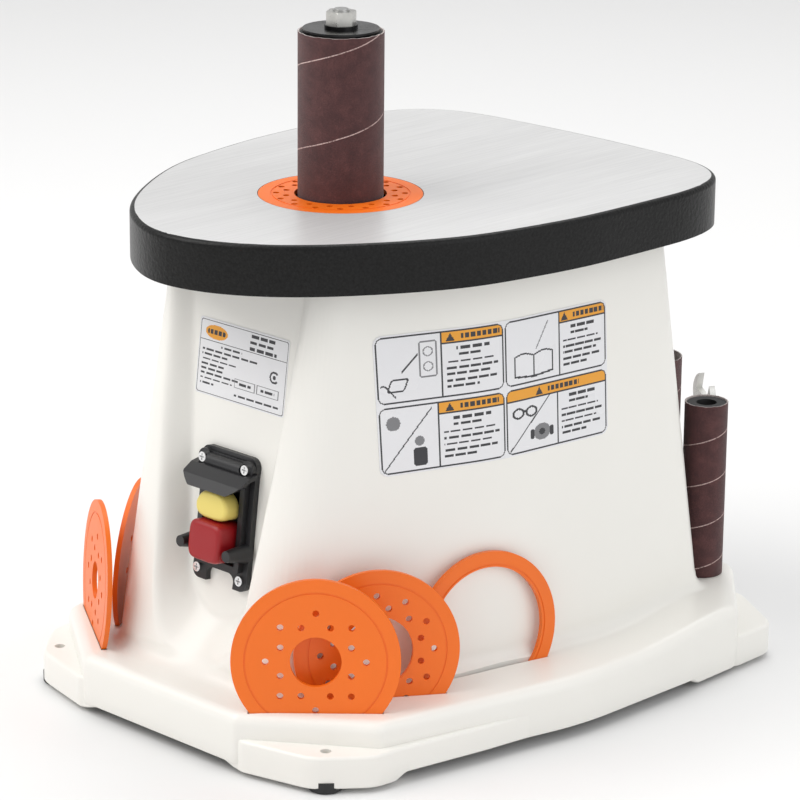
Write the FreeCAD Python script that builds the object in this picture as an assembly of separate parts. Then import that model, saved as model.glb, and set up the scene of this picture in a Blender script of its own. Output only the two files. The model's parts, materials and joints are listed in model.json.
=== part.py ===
"""Bench-top oscillating spindle sander, as an assembly of separate pieces.

Frame: millimetres, +Z up. X = 0 is the plane of symmetry, with +X to the right of
someone who stands in front. The front is -Y. Z = 0 is the surface that the rubber
feet stand on, and Y = 0 is half way along the base.
"""
import FreeCAD
import Part
import math
import os

V = FreeCAD.Vector
os.makedirs("parts", exist_ok=True)

# ---------------------------------------------------------------- driving dimensions
# Base moulding
BASE_FRONT = 200.0          # half depth of the base, from Y = 0 to its front and rear edges
BASE_SIDE = 172.0           # half width of the base at its widest
FOOT_HEIGHT = 3.0           # how far a rubber foot stands below the base
LOBE_TOP = 23.0             # top of the corner lobes that take the bench bolts
SKIRT_BOTTOM = 7.0          # lower edge of the base between the lobes
APRON_TOP = 38.0            # upper face of the base round the body
WALL = 3.5                  # wall of the moulding
APRON_ROUND = 7.0           # rounded upper edge of the base
PLATFORM_TOP = 44.4         # raised rear part of the apron, where drums and sleeves stand
BODY_TOP = 281.0            # top of the body, where the table sits
BOLT_HOLE_R = 3.25          # bench bolt holes
FRONT_BOLT = (117.0, -175.0)
REAR_FOOT = (146.0, 158.0)
FOOT_R = 10.5

# Table
TABLE_THICK = 30.0
TABLE_SIDE = 143.0          # half width
TABLE_FRONT = -188.5
TABLE_REAR = 175.0
TABLE_SKIN = 8.0            # ground plate over the ribs
TABLE_RIM = 9.0

# Spindle, drum and sleeve on the machine
SPINDLE_Y = -47.5
STROKE = 16.0
SPINDLE_R = 8.0             # main shaft
SEAT_R = 6.35               # half-inch seat for the drums
SLEEVE_LENGTH = 114.3
SLEEVE_R = 25.75
SLEEVE_WALL = 0.9
SLEEVE_TOP = BODY_TOP + TABLE_THICK + 98.9
RUN = 0.05                  # radial clearance of a running fit
INSERT_R = 49.5
INSERT_THICK = 3.0
INSERT_GAP = 0.4            # round a table insert in its seat

# Drive. It hangs under the table, so its heights are set down from the top of the body.
HUB_R = 12.5
HUB_BOTTOM = BODY_TOP - 115.0
HUB_TOP = BODY_TOP - 17.0
BEARING_R = 23.5
BEARING_H = 12.0
UPPER_BEARING_Z = BODY_TOP - 31.0
LOWER_BEARING_Z = BODY_TOP - 113.0
PULLEY_Z = BODY_TOP - 53.0
PULLEY_H = 18.0
SPINDLE_PULLEY_R = 34.0
MOTOR_PULLEY_R = 20.0
BELT_THICK = 2.6
WORM_MODULE = 1.25
WORM_R = 16.0               # pitch radius
WHEEL_TEETH = 35
WHEEL_Z = BODY_TOP - 81.0
CRANK_R = STROKE / 2
MOTOR_Y = 50.0
MOTOR_R = 44.0
MOTOR_BOTTOM = BODY_TOP - 185.0
MOTOR_TOP = BODY_TOP - 76.0
CARRIAGE_Z = BODY_TOP - 201.0
CARRIAGE_H = 18.0
GUIDE_X = 34.0
GUIDE_R = 5.0
GUIDE_LOW = BODY_TOP - 219.0    # lower end of the guide rods
HANGER_THICK = 9.0          # top plate of the drive frame

# Front recess and switch
PANEL_LEAN = 7.0            # the switch panel leans forward at its foot
PANEL_Y = -122.8            # the panel's plane at PANEL_REF_Z
PANEL_REF_Z = 270.0
SWITCH_Z = 128.0
SWITCH_W = 46.0
SWITCH_H = 82.0

# Stored inserts: centre x, y, yaw of the face, height of the centre over the apron
RIGHT_STATIONS = [(97.0, -163.5, 46.0, 30.8), (106.0, -121.5, 34.0, 28.0), (121.5, -43.5, 13.0, 24.0)]
LEFT_STATIONS = [(97.0, -163.5, 57.0, 30.8), (109.5, -121.5, 34.0, 33.0), (121.5, -43.5, 13.0, 24.0)]
STATION_LEAN = 4.0
SLOT_GAP = 0.35             # each side of an insert in its slot

# Stored drums and sleeves: x, y of each standing place, its ledge, pocket radius and roof
CORNER_PLACE = (112.8, 167.2)
SIDE_PLACE = (86.8, 142.0)
SIDE_LEDGE = 74.4
SIDE_ROOF = 214.0
SIDE_POCKET_R = 23.0
MIDDLE_PLACE = (0.0, 142.5)
MIDDLE_LEDGE = 61.0
MIDDLE_ROOF = 200.0
MIDDLE_POCKET_R = 42.0
PEG_R = 5.6
PEG_H = 24.0
BIG_SLEEVE_R = 38.5
MIDDLE_SLEEVE_R = 19.85
DRUM_BORE_R = 6.5
REST_GAP = 0.3              # a stored piece stands this far clear of its ledge
WRENCH_PLACE = (94.4, 187.6)
WRENCH_TURN = -26.2
WRENCH_FOOT = 25.2          # floor of the slot that the wrench stands in

WHEEL_R = WORM_MODULE * WHEEL_TEETH / 2
WHEEL_Y = SPINDLE_Y - WORM_R - WHEEL_R
TABLE_TOP = BODY_TOP + TABLE_THICK
INSERT_BOTTOM = TABLE_TOP - INSERT_THICK
SLEEVE_BOTTOM = SLEEVE_TOP - SLEEVE_LENGTH
BODY_FLOOR = APRON_TOP - WALL
PORT_R = 19.0
PORT_INNER = (0.0, 106.0, 244.0)
PORT_OUTER = (0.0, 168.0, 218.0)
GLAND_PLACE = (-52.0, 215.0)    # x and z of the cable gland in the rear wall
PORT_STEP_Y = 139.0         # from here out the port is a plain spigot for the hose
MADE = {}


# ---------------------------------------------------------------- helpers
def cyl(r, z0, z1, x=0.0, y=0.0):
    """Upright round bar."""
    return Part.makeCylinder(r, z1 - z0, V(x, y, z0))


def ring(r_out, r_in, z0, z1, x=0.0, y=0.0):
    """Upright tube."""
    return cyl(r_out, z0, z1, x, y).cut(cyl(r_in, z0 - 1, z1 + 1, x, y))


def bar(r, start, end):
    """Round bar between two points."""
    run = V(*end) - V(*start)
    return Part.makeCylinder(r, run.Length, V(*start), run)


def box(x0, x1, y0, y1, z0, z1):
    return Part.makeBox(x1 - x0, y1 - y0, z1 - z0, V(x0, y0, z0))


def fuse(shapes):
    whole = shapes[0]
    for piece in shapes[1:]:
        whole = whole.fuse(piece)
    return whole.removeSplitter()


def cut(whole, tools):
    for tool in tools:
        whole = whole.cut(tool)
    return whole


def both_sides(shape):
    """A shape and its mirror image across X = 0."""
    return [shape, shape.mirror(V(0, 0, 0), V(1, 0, 0))]


def rounded(corners, z):
    """Closed wire at height z through corners (x, y, radius), each rounded by a tangent arc."""
    count = len(corners)
    stations = []
    for i, (x, y, r) in enumerate(corners):
        here = V(x, y, z)
        before = V(corners[i - 1][0], corners[i - 1][1], z)
        after = V(corners[(i + 1) % count][0], corners[(i + 1) % count][1], z)
        back = (before - here).normalize()
        ahead = (after - here).normalize()
        half = back.getAngle(ahead) / 2
        reach = r / math.tan(half)
        middle = (back + ahead).normalize()
        centre = here + middle * (r / math.sin(half))
        stations.append((here + back * reach, centre - middle * r, here + ahead * reach))
    edges = []
    for i, (start, top, end) in enumerate(stations):
        edges.append(Part.Arc(start, top, end).toShape())
        edges.append(Part.LineSegment(end, stations[(i + 1) % count][0]).toShape())
    return Part.Wire(edges)


def mirrored(half):
    """Corner list of the whole outline from the corners of its right half, front to rear."""
    return half + [(-x, y, r) for x, y, r in reversed(half)]


def plate(corners, z0, z1):
    return Part.Face(rounded(corners, z0)).extrude(V(0, 0, z1 - z0))


def loft(low, high):
    return Part.makeLoft([low, high], True, True)


def grown(corners, by):
    """Corners moved out from the middle by a distance along X and Y."""
    moved = []
    for x, y, r in corners:
        moved.append((x + math.copysign(by, x), y + math.copysign(by, y), max(r + by, 1.0)))
    return moved


def hexagon(across_flats, z0, z1, x=0.0, y=0.0):
    radius = across_flats / math.sqrt(3)
    points = [V(x + radius * math.cos(math.radians(a)), y + radius * math.sin(math.radians(a)), z0)
              for a in range(0, 361, 60)]
    return Part.Face(Part.makePolygon(points)).extrude(V(0, 0, z1 - z0))


def rim_edges(shape, z, size):
    """Edges that lie flat at height z and are part of a big outline."""
    found = []
    for edge in shape.Edges:
        low = edge.BoundBox.ZMin
        high = edge.BoundBox.ZMax
        centre = edge.CenterOfMass
        if abs(low - z) < 0.01 and abs(high - z) < 0.01 and math.hypot(centre.x, centre.y) > size:
            found.append(edge)
    return found


def save(name, shapes):
    """Write one node: a solid, or a group of separate solids."""
    if not isinstance(shapes, list):
        shapes = [shapes]
    solids = []
    for shape in shapes:
        solids.extend(shape.Solids)
    whole = solids[0] if len(solids) == 1 else Part.makeCompound(solids)
    MADE[name] = whole
    whole.exportStep("parts/" + name + ".step")
    print(name, len(solids), "valid" if whole.isValid() else "INVALID", round(whole.Volume))


# ---------------------------------------------------------------- housing
def base_half(front, side):
    """Right half of the whole base outline with its four corner lobes."""
    return [(68, -front, 14), (118.5, -front + 12, 24), (142, -front + 39.5, 20), (145, -front + 62, 8),
            (side - 2, -10, 220), (side - 1, 86, 150), (side - 4, 173, 16), (122, front, 14)]


def apron_half(front, side):
    """Right half of the apron: the base with its corners cut off across the lobes."""
    return [(66, -front, 6), (137, -front + 50, 6), (141, -front + 66, 20), (side - 2, -10, 220),
            (side - 1, 86, 110), (side - 2.5, 136, 8), (116, front - 3.5, 16)]


def platform_half(front, side):
    """Right half of the raised rear part, on the apron's own outline behind Y = 108."""
    return [(side - 1.66, 108, 8), (side - 2.5, 136, 8), (116, front - 3.5, 16)]


def body_wire(z):
    """Body outline at height z. It tapers from the apron up to the table."""
    t = (z - APRON_TOP) / (BODY_TOP - APRON_TOP)
    low = [(76, -174.5, 40), (121, -25, 180), (131.5, 60, 180), (131, 151, 14)]
    high = [(65, -129.5, 22), (108, -32, 180), (119.5, 60, 180), (117.5, 125.5, 22)]
    half = [tuple(a + (b - a) * t for a, b in zip(p, q)) for p, q in zip(low, high)]
    return mirrored(half)


def inset(corners, by):
    return [(x - math.copysign(by, x), y - math.copysign(by, y), max(r - by, 2.0)) for x, y, r in corners]


def panel_y(z):
    """Y of the leaning switch panel at height z."""
    return PANEL_Y - (PANEL_REF_Z - z) * math.tan(math.radians(PANEL_LEAN))


def wall_y(z):
    """Y of the body's front face at height z."""
    return -127.0 - (BODY_TOP - z) * 0.185


def u_wire(half_top, half_low, spring, bottom, plane):
    """A U in the plane y = plane(z): straight leaning sides and a round foot."""
    top_z = BODY_TOP + 30
    left = [V(-half_top, plane(top_z), top_z), V(-half_low, plane(spring), spring)]
    foot = V(0, plane(bottom), bottom)
    right = [V(half_low, plane(spring), spring), V(half_top, plane(top_z), top_z)]
    edges = [Part.LineSegment(left[0], left[1]).toShape(),
             Part.Arc(left[1], foot, right[0]).toShape(),
             Part.LineSegment(right[0], right[1]).toShape(),
             Part.LineSegment(right[1], left[0]).toShape()]
    return Part.Wire(edges)


def recess(extra):
    """Front recess: a U open at the top, with soft flared sides down to the leaning panel.

    extra grows the tool, which leaves a wall of that thickness behind the recess.
    """
    back = u_wire(51 + extra, 30 + extra, 96, 66 - extra, lambda z: panel_y(z) + extra)
    front = u_wire(73 + extra, 43 + extra, 72, 29 - extra, lambda z: wall_y(z) - 15)
    tool = loft(back, front)
    return tool.cut(box(-90, 90, -260, -90, -50, APRON_TOP + 4 - extra))


def leaned(shape, x, y, yaw, z=APRON_TOP):
    """Turn a disc-frame shape (disc in its local XZ plane, normal -Y) to its station."""
    placed = shape.copy()
    placed.rotate(V(0, 0, 0), V(1, 0, 0), -STATION_LEAN)
    placed.rotate(V(0, 0, 0), V(0, 0, 1), 90 - yaw)
    placed.translate(V(x, y, z))
    return placed


def slot_tool(rise, extra):
    """Slot for one stored insert, in the disc frame."""
    half = math.sqrt(INSERT_R ** 2 - rise ** 2) + 0.8 + extra
    depth = INSERT_R - rise + 0.3 + min(extra, 1.0)
    thick = INSERT_THICK / 2 + SLOT_GAP + extra
    return box(-half, half, -thick, thick, -depth, 12)


def sided(shape, sign):
    """The shape itself on the right, or its mirror image on the left."""
    return shape if sign > 0 else shape.mirror(V(0, 0, 0), V(1, 0, 0))


def stations(sign):
    return RIGHT_STATIONS if sign > 0 else LEFT_STATIONS


def slots(extra):
    """Slots for all the stored inserts on both sides."""
    found = []
    for sign in (-1, 1):
        for x, y, yaw, rise in stations(sign):
            found.append(sided(leaned(slot_tool(rise, extra), x, y, yaw), sign))
    return found


def lobe_zones():
    """Where the base stands lower, at its four corners. The inner ends rise at a slope."""
    zones = []
    front = (74.5, 51.75, -149, -135, -BASE_FRONT - 1)
    rear = (94, 80, 103, 89, BASE_FRONT + 1)
    for x_low, x_high, y_low, y_high, y_far in (front, rear):
        wires = []
        for x, y, z in ((x_low, y_low, FOOT_HEIGHT - 2), (x_high, y_high, SKIRT_BOTTOM + 1)):
            x_far = BASE_SIDE + 1
            corners = [V(x, y, z), V(x, y_far, z), V(x_far, y_far, z), V(x_far, y, z), V(x, y, z)]
            wires.append(Part.makePolygon(corners))
        zones += both_sides(loft(wires[0], wires[1]))
    return zones


def pockets(extra):
    """Round pockets in the rear wall for the big drums and sleeves, over their ledges."""
    x, y = SIDE_PLACE
    side = cyl(SIDE_POCKET_R + extra, SIDE_LEDGE - extra, SIDE_ROOF + extra, x, y)
    middle = cyl(MIDDLE_POCKET_R + extra, MIDDLE_LEDGE - extra, MIDDLE_ROOF + extra, *MIDDLE_PLACE)
    return both_sides(side) + [middle]


def ledges():
    """Round bosses that stand on the platform and carry the big drums and sleeves."""
    x, y = SIDE_PLACE
    side = cyl(SIDE_POCKET_R - 2, APRON_TOP - 2, SIDE_LEDGE, x, y)
    middle = cyl(MIDDLE_POCKET_R - 2, APRON_TOP - 2, MIDDLE_LEDGE, *MIDDLE_PLACE)
    return both_sides(side) + [middle]


def pegs():
    """Short posts that stop the stored drums and sleeves from sliding off."""
    corner = cyl(PEG_R, PLATFORM_TOP - 2, PLATFORM_TOP + PEG_H, *CORNER_PLACE)
    side = cyl(PEG_R, SIDE_LEDGE - 2, SIDE_LEDGE + PEG_H, *SIDE_PLACE)
    middle = cyl(PEG_R, MIDDLE_LEDGE - 2, MIDDLE_LEDGE + PEG_H, *MIDDLE_PLACE)
    return both_sides(corner) + both_sides(side) + [middle]


def foot_places():
    return [(sign * x, y) for sign in (-1, 1) for x, y in (FRONT_BOLT, REAR_FOOT)]


def turned(shape):
    """Put a shape that is drawn round the wrench's own axis in the wrench's place."""
    placed = shape.copy()
    placed.rotate(V(0, 0, 0), V(0, 0, 1), WRENCH_TURN)
    placed.translate(V(WRENCH_PLACE[0], WRENCH_PLACE[1], 0))
    return placed


def make_shell():
    """Outside of the moulding with its recess and pockets, then hollowed from below."""
    base = plate(mirrored(base_half(BASE_FRONT, BASE_SIDE)), FOOT_HEIGHT, LOBE_TOP)
    skirt_gap = plate(mirrored(base_half(BASE_FRONT + 20, BASE_SIDE + 20)), FOOT_HEIGHT - 1, SKIRT_BOTTOM)
    base = base.cut(cut(skirt_gap, lobe_zones()))
    apron = plate(mirrored(apron_half(BASE_FRONT, BASE_SIDE)), SKIRT_BOTTOM, APRON_TOP)
    apron = apron.makeFillet(APRON_ROUND, rim_edges(apron, APRON_TOP, 1))
    platform = plate(mirrored(platform_half(BASE_FRONT, BASE_SIDE)), SKIRT_BOTTOM, PLATFORM_TOP)
    platform = platform.makeFillet(APRON_ROUND, rim_edges(platform, PLATFORM_TOP, 1))
    body = loft(rounded(body_wire(APRON_TOP - 6), APRON_TOP - 6), rounded(body_wire(BODY_TOP), BODY_TOP))
    outer = base
    for piece in [apron, platform, body] + ledges():
        outer = outer.fuse(piece)
    outer = cut(outer, [recess(0.0)] + pockets(0.0))
    hollow = loft(rounded(inset(body_wire(APRON_TOP - 10), WALL), APRON_TOP - 10),
                  rounded(inset(body_wire(BODY_TOP - WALL), WALL), BODY_TOP - WALL))
    hollow = cut(hollow, [recess(WALL)] + pockets(WALL))
    under = plate(inset(mirrored(apron_half(BASE_FRONT, BASE_SIDE)), WALL + 1), -1, BODY_FLOOR)
    rear = plate(inset(mirrored(platform_half(BASE_FRONT, BASE_SIDE)), WALL + 1), -1, PLATFORM_TOP - WALL)
    under = under.fuse(rear.cut(box(-200, 200, 0, 113, -2, PLATFORM_TOP)))
    solid_feet = [cyl(FOOT_R + 4.5, 0, LOBE_TOP, x, y) for x, y in foot_places()]
    under = cut(under, solid_feet + [recess(WALL)] + slots(2.2))
    return outer.cut(hollow).cut(under)


def make_housing():
    """One-piece base and body with every hole and peg that it carries."""
    rear = FRAME_REAR + 3
    deck_corners = [(64, -102, 8), (64, rear, 8), (-64, rear, 8), (-64, -102, 8)]
    deck_hole = plate(deck_corners, BODY_TOP - 10, BODY_TOP + 1)
    tools = [deck_hole] + slots(0.0)
    for x, y in foot_places():
        tools.append(cyl(FOOT_R + 0.1, -1, FOOT_HEIGHT + 4, x, y))
    tools += [cyl(BOLT_HOLE_R, -1, LOBE_TOP + 20, sign * FRONT_BOLT[0], FRONT_BOLT[1]) for sign in (-1, 1)]
    shell = cut(make_shell(), tools)
    bosses = [cyl(4.5, 11.0, (PLATFORM_TOP if y > 110 else APRON_TOP) - 1, x, y) for x, y in COVER_SCREWS]
    wrench_block = turned(box(-12, 12, -5.5, 5.5, WRENCH_FOOT - 5, PLATFORM_TOP - 2))
    shell = fuse([shell, wrench_block] + bosses + pegs())
    holes = [bar(PORT_R + 1.3, *port_line(0.5)), bar(8.0, gland_at(110), gland_at(160)),
             on_panel(box(-14.8, 14.8, -2, WALL + 4, -24.8, 24.8)),
             turned(box(-9, 9, -2.4, 2.4, WRENCH_FOOT, PLATFORM_TOP + 20))]
    holes += [on_panel(bar(1.9, (x, -2, z), (x, 9, z))) for x, z in SCREW_AT]
    holes += [cyl(1.5, 0, 30, x, y) for x, y in COVER_SCREWS]
    holes += [cyl(3.3, BODY_TOP - 21, BODY_TOP + 19, x, y) for x, y in DECK_SCREWS]
    return cut(shell, holes)


# ---------------------------------------------------------------- table and inserts
def table_wire(z, shrink=0.0):
    """Smooth table outline: a blunt nose at the front, nearly parallel sides, a full rear."""
    half = [(0.0, 0.0), (0.27, 0.03), (0.50, 0.10), (0.66, 0.18), (0.79, 0.265), (0.88, 0.346),
            (0.93, 0.425), (0.987, 0.567), (1.0, 0.705), (0.98, 0.858), (0.894, 0.931),
            (0.727, 0.976), (0.45, 0.994)]
    side = TABLE_SIDE - shrink
    front = TABLE_FRONT + shrink
    depth = TABLE_REAR - shrink - front
    right = [V(side * x, front + depth * y, z) for x, y in half]
    left = [V(-p.x, p.y, z) for p in reversed(right[1:])]
    curve = Part.BSplineCurve()
    curve.interpolate(right + [V(0, front + depth, z)] + left, PeriodicFlag=True)
    return Part.Wire(curve.toShape())


def make_table():
    blank = Part.Face(table_wire(BODY_TOP)).extrude(V(0, 0, TABLE_THICK))
    blank = blank.makeFillet(3.0, rim_edges(blank, TABLE_TOP, -1))
    pocket = Part.Face(table_wire(BODY_TOP - 1, TABLE_RIM)).extrude(V(0, 0, TABLE_THICK - TABLE_SKIN + 1))
    ribs = [box(-150, 150, y - 3, y + 3, BODY_TOP, TABLE_TOP) for y in (20, 104)]
    ribs += [box(x - 3, x + 3, -190, 175, BODY_TOP, TABLE_TOP) for x in (-58, 58)]
    ribs.append(cyl(INSERT_R + 8, BODY_TOP, TABLE_TOP, 0, SPINDLE_Y))
    ribs += [cyl(9, BODY_TOP, TABLE_TOP, x, y) for x, y in TABLE_SCREWS + DECK_SCREWS]
    pocket = cut(pocket, ribs)
    tools = [pocket, cyl(INSERT_R + INSERT_GAP, INSERT_BOTTOM, TABLE_TOP + 1, 0, SPINDLE_Y),
             cyl(INSERT_R - 4, BODY_TOP - 1, TABLE_TOP, 0, SPINDLE_Y)]
    tools += [cyl(3.0, BODY_TOP - 1, BODY_TOP + 16, x, y) for x, y in TABLE_SCREWS + DECK_SCREWS]
    return cut(blank, tools)


TABLE_SCREWS = [(-52, 86), (52, 86), (-52, -88), (52, -88)]
DECK_SCREWS = [(-88, 60), (88, 60), (-80, -50), (80, -50)]
INSERT_HOLES = {"table_insert_2in": (27.75, [(16, 33.0), (16, 38.5)]),
                "insert_1in": (15.0, [(8, 22.3), (8, 29.3)]),
                "insert_1_5in": (21.5, [(12, 27.0), (12, 34.0)]),
                "insert_3in": (40.0, []),
                "insert_0_75in": (11.5, [(8, 20.0), (8, 28.0)]),
                "insert_0_5in": (8.5, [(6, 17.0), (8, 26.0)])}


def insert_disc(name):
    """Insert lying flat with its underside on Z = 0, round its own axis."""
    bore, rings = INSERT_HOLES[name]
    disc = ring(INSERT_R, bore, 0, INSERT_THICK)
    holes = [ring(42.0, 41.0, INSERT_THICK - 0.4, INSERT_THICK + 1)]
    for order, (count, radius) in enumerate(rings):
        for i in range(count):
            angle = 2 * math.pi * (i + (1 - order) / 2) / count
            holes.append(cyl(2.0, -1, INSERT_THICK + 1, radius * math.cos(angle), radius * math.sin(angle)))
    return cut(disc, holes)


def stored_insert(name, station, sign):
    x, y, yaw, rise = stations(sign)[station]
    disc = insert_disc(name)
    disc.translate(V(0, 0, -INSERT_THICK / 2))
    disc.rotate(V(0, 0, 0), V(1, 0, 0), 90)
    disc.translate(V(0, 0, rise))
    return sided(leaned(disc, x, y, yaw), sign)


# ---------------------------------------------------------------- spindle, drums and sleeves
def sleeve(r_out, bottom, x=0.0, y=SPINDLE_Y, wall=SLEEVE_WALL):
    return ring(r_out, r_out - wall, bottom, bottom + SLEEVE_LENGTH, x, y)


def drum(r_out, bottom, bore, x=0.0, y=SPINDLE_Y):
    """Rubber drum: relief grooves at both ends leave it a soft shoulder."""
    body = ring(r_out, bore, bottom, bottom + SLEEVE_LENGTH - 1.0, x, y)
    edges = [e for e in body.Edges if abs(e.Length - 2 * math.pi * r_out) < 0.1]
    return body.makeChamfer(0.6, edges)


SEAT_Z = SLEEVE_BOTTOM - 2.0
DRUM_TOP = SLEEVE_BOTTOM + SLEEVE_LENGTH - 1.0
WASHER_TOP = SLEEVE_TOP + 1.6
SPINDLE_TOP = WASHER_TOP + 11.5


def make_spindle():
    parts = [cyl(SPINDLE_R, CARRIAGE_Z + CARRIAGE_H, SEAT_Z - 6, 0, SPINDLE_Y),
             cyl(12.0, SEAT_Z - 8, SEAT_Z, 0, SPINDLE_Y),
             cyl(SEAT_R, SEAT_Z, DRUM_TOP - 2, 0, SPINDLE_Y),
             cyl(5.0, DRUM_TOP - 2, SPINDLE_TOP, 0, SPINDLE_Y),
             cyl(6.0, CARRIAGE_Z - 4, CARRIAGE_Z + CARRIAGE_H, 0, SPINDLE_Y)]
    shaft = fuse(parts)
    keyway = box(-2.6, 2.6, SPINDLE_Y - SPINDLE_R - 1, SPINDLE_Y - SPINDLE_R + 3, WHEEL_Z - 20, WHEEL_Z + 24)
    groove = ring(7.0, 5.4, CARRIAGE_Z - 2.2, CARRIAGE_Z - 0.9, 0, SPINDLE_Y)
    point = ring(8.0, 4.2, SPINDLE_TOP - 0.8, SPINDLE_TOP + 1, 0, SPINDLE_Y)
    return cut(shaft, [keyway, groove, point])


def make_hub():
    """Long hub that turns in two bearings. The spindle slides through it and its worm is cut on it."""
    tube = ring(HUB_R, SPINDLE_R + RUN, HUB_BOTTOM, HUB_TOP, 0, SPINDLE_Y)
    worm_low = WHEEL_Z - 14
    worm_high = WHEEL_Z + 14
    pitch = math.pi * WORM_MODULE
    core = WORM_R - 1.25 * WORM_MODULE
    threads = ring(core, HUB_R - 1, worm_low, worm_high, 0, SPINDLE_Y)
    rings = []
    count = int((worm_high - worm_low) / pitch)
    for i in range(count):
        z = WHEEL_Z + (i - count // 2) * pitch + pitch / 2
        rings.append(tooth_ring(core - 0.2, WORM_R + WORM_MODULE * 0.8, z, pitch * 0.56, pitch * 0.24))
    slot = box(-2.5, 2.5, SPINDLE_Y - SPINDLE_R - 2.2, SPINDLE_Y - SPINDLE_R + 1, WHEEL_Z - 4, WHEEL_Z + 8)
    return fuse([tube, threads] + rings).cut(slot)


def tooth_ring(r_in, r_out, z, foot, tip):
    """One turn of worm thread drawn as a ring of trapezoid section."""
    points = [V(r_in, 0, z - foot / 2), V(r_out, 0, z - tip / 2), V(r_out, 0, z + tip / 2),
              V(r_in, 0, z + foot / 2), V(r_in, 0, z - foot / 2)]
    profile = Part.Face(Part.makePolygon(points))
    turned = profile.revolve(V(0, 0, 0), V(0, 0, 1), 360)
    turned.translate(V(0, SPINDLE_Y, 0))
    return turned


def bearing(z, r_in, r_out, height, x=0.0, y=SPINDLE_Y):
    """Deep-groove bearing drawn as two races, a ball row and its shields, in one solid."""
    whole = ring(r_out, r_in, z, z + height, x, y)
    middle = (r_in + r_out) / 2
    recess_low = ring(middle + 2.2, middle - 2.2, z - 1, z + 0.8, x, y)
    recess_high = ring(middle + 2.2, middle - 2.2, z + height - 0.8, z + height + 1, x, y)
    return cut(whole, [recess_low, recess_high])


def pulley(r, bore, z, height, x, y):
    """Toothless belt pulley with two low flanges and a relief turned in its lower face."""
    body = ring(r, bore, z, z + height, x, y)
    top = z + height
    flanges = [ring(r + 2.5, r - 2, z, z + 1.5, x, y), ring(r + 2.5, r - 2, top - 1.5, top, x, y)]
    body = fuse([body] + flanges)
    return body.cut(ring(r - 4, bore + 5, z - 1, z + height / 2 - 3, x, y))


def make_belt():
    """Flat ribbed belt round both pulleys, with straight runs tangent to them."""
    z0 = PULLEY_Z + 2.0
    z1 = PULLEY_Z + PULLEY_H - 2.0
    gap = 0.35

    def stretch(grow):
        big = SPINDLE_PULLEY_R + grow
        small = MOTOR_PULLEY_R + grow
        span = MOTOR_Y - SPINDLE_Y
        lean = math.asin((big - small) / span)
        sx, sy = math.cos(lean), math.sin(lean)
        a = V(big * sx, SPINDLE_Y + big * sy, z0)
        b = V(small * sx, MOTOR_Y + small * sy, z0)
        a2 = V(-a.x, a.y, z0)
        b2 = V(-b.x, b.y, z0)
        edges = [Part.LineSegment(a, b).toShape(), Part.Arc(b, V(0, MOTOR_Y + small, z0), b2).toShape(),
                 Part.LineSegment(b2, a2).toShape(), Part.Arc(a2, V(0, SPINDLE_Y - big, z0), a).toShape()]
        return Part.Face(Part.Wire(edges)).extrude(V(0, 0, z1 - z0))
    return stretch(gap + BELT_THICK).cut(stretch(gap))


# ---------------------------------------------------------------- drive frame and crank drive
CHEEK_X = 46.0
SHELF_Z = LOWER_BEARING_Z - 3
FRAME_REAR = 96.0
POST_X = 36.0
POST_Y = 33.0


def make_drive_frame():
    """Casting under the table: bearing boxes, cheeks, wheel bearings, motor posts and guide rods' seats."""
    corners = [(60, -98, 10), (60, FRAME_REAR, 12), (-60, FRAME_REAR, 12), (-60, -98, 10)]
    root = BODY_TOP - HANGER_THICK + 2
    top = plate(corners, BODY_TOP - HANGER_THICK, BODY_TOP)
    parts = [top, cyl(32, UPPER_BEARING_Z - 2, root, 0, SPINDLE_Y)]
    for s in (-1, 1):
        parts.append(box(s * CHEEK_X - 3, s * CHEEK_X + 3, -96, -8, SHELF_Z, root))
        for y in (MOTOR_Y - POST_Y, MOTOR_Y + POST_Y):
            parts.append(cyl(6.0, MOTOR_TOP, root, s * POST_X, y))
    parts.append(box(-CHEEK_X, CHEEK_X, -78, -8, SHELF_Z, SHELF_Z + 14))
    parts.append(cyl(31, SHELF_Z, SHELF_Z + 17, 0, SPINDLE_Y))
    for s, x0, x1 in ((-1, 18, CHEEK_X), (1, 18, 25)):
        low = min(s * x0, s * x1)
        high = max(s * x0, s * x1)
        parts.append(box(low, high, WHEEL_Y - 9, WHEEL_Y + 9, SHELF_Z + 4, WHEEL_Z + 12))
    parts.append(box(18, 25, WHEEL_Y + 5, SPINDLE_Y - 20, SHELF_Z, WHEEL_Z + 12))
    frame = fuse(parts)
    tools = [cyl(BEARING_R, UPPER_BEARING_Z, BODY_TOP + 9, 0, SPINDLE_Y),
             cyl(BEARING_R, LOWER_BEARING_Z, SHELF_Z + 30, 0, SPINDLE_Y),
             cyl(HUB_R + 4, SHELF_Z - 5, SHELF_Z + 30, 0, SPINDLE_Y),
             cyl(HUB_R + 4, UPPER_BEARING_Z - 5, UPPER_BEARING_Z + 5, 0, SPINDLE_Y),
             bar(6.0, (-60, WHEEL_Y, WHEEL_Z), (26, WHEEL_Y, WHEEL_Z)),
             bar(WHEEL_R + 3, (-17.5, WHEEL_Y, WHEEL_Z), (17.5, WHEEL_Y, WHEEL_Z)),
             cyl(WORM_R + 3, SHELF_Z + 15, WHEEL_Z + 16, 0, SPINDLE_Y)]
    for s in (-1, 1):
        tools.append(cyl(GUIDE_R, SHELF_Z - 1, SHELF_Z + 9, s * GUIDE_X, SPINDLE_Y))
        tools.append(bar(SPINDLE_PULLEY_R + 6, (s * 30, -20, PULLEY_Z + 9), (s * 60, -20, PULLEY_Z + 9)))
    for x, y in TABLE_SCREWS:
        tools.append(cyl(3.3, BODY_TOP - 21, BODY_TOP + 9, x, y))
        tools.append(cyl(6.5, BODY_TOP - 21, BODY_TOP - 6, x, y))
    return cut(frame, tools)


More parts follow.
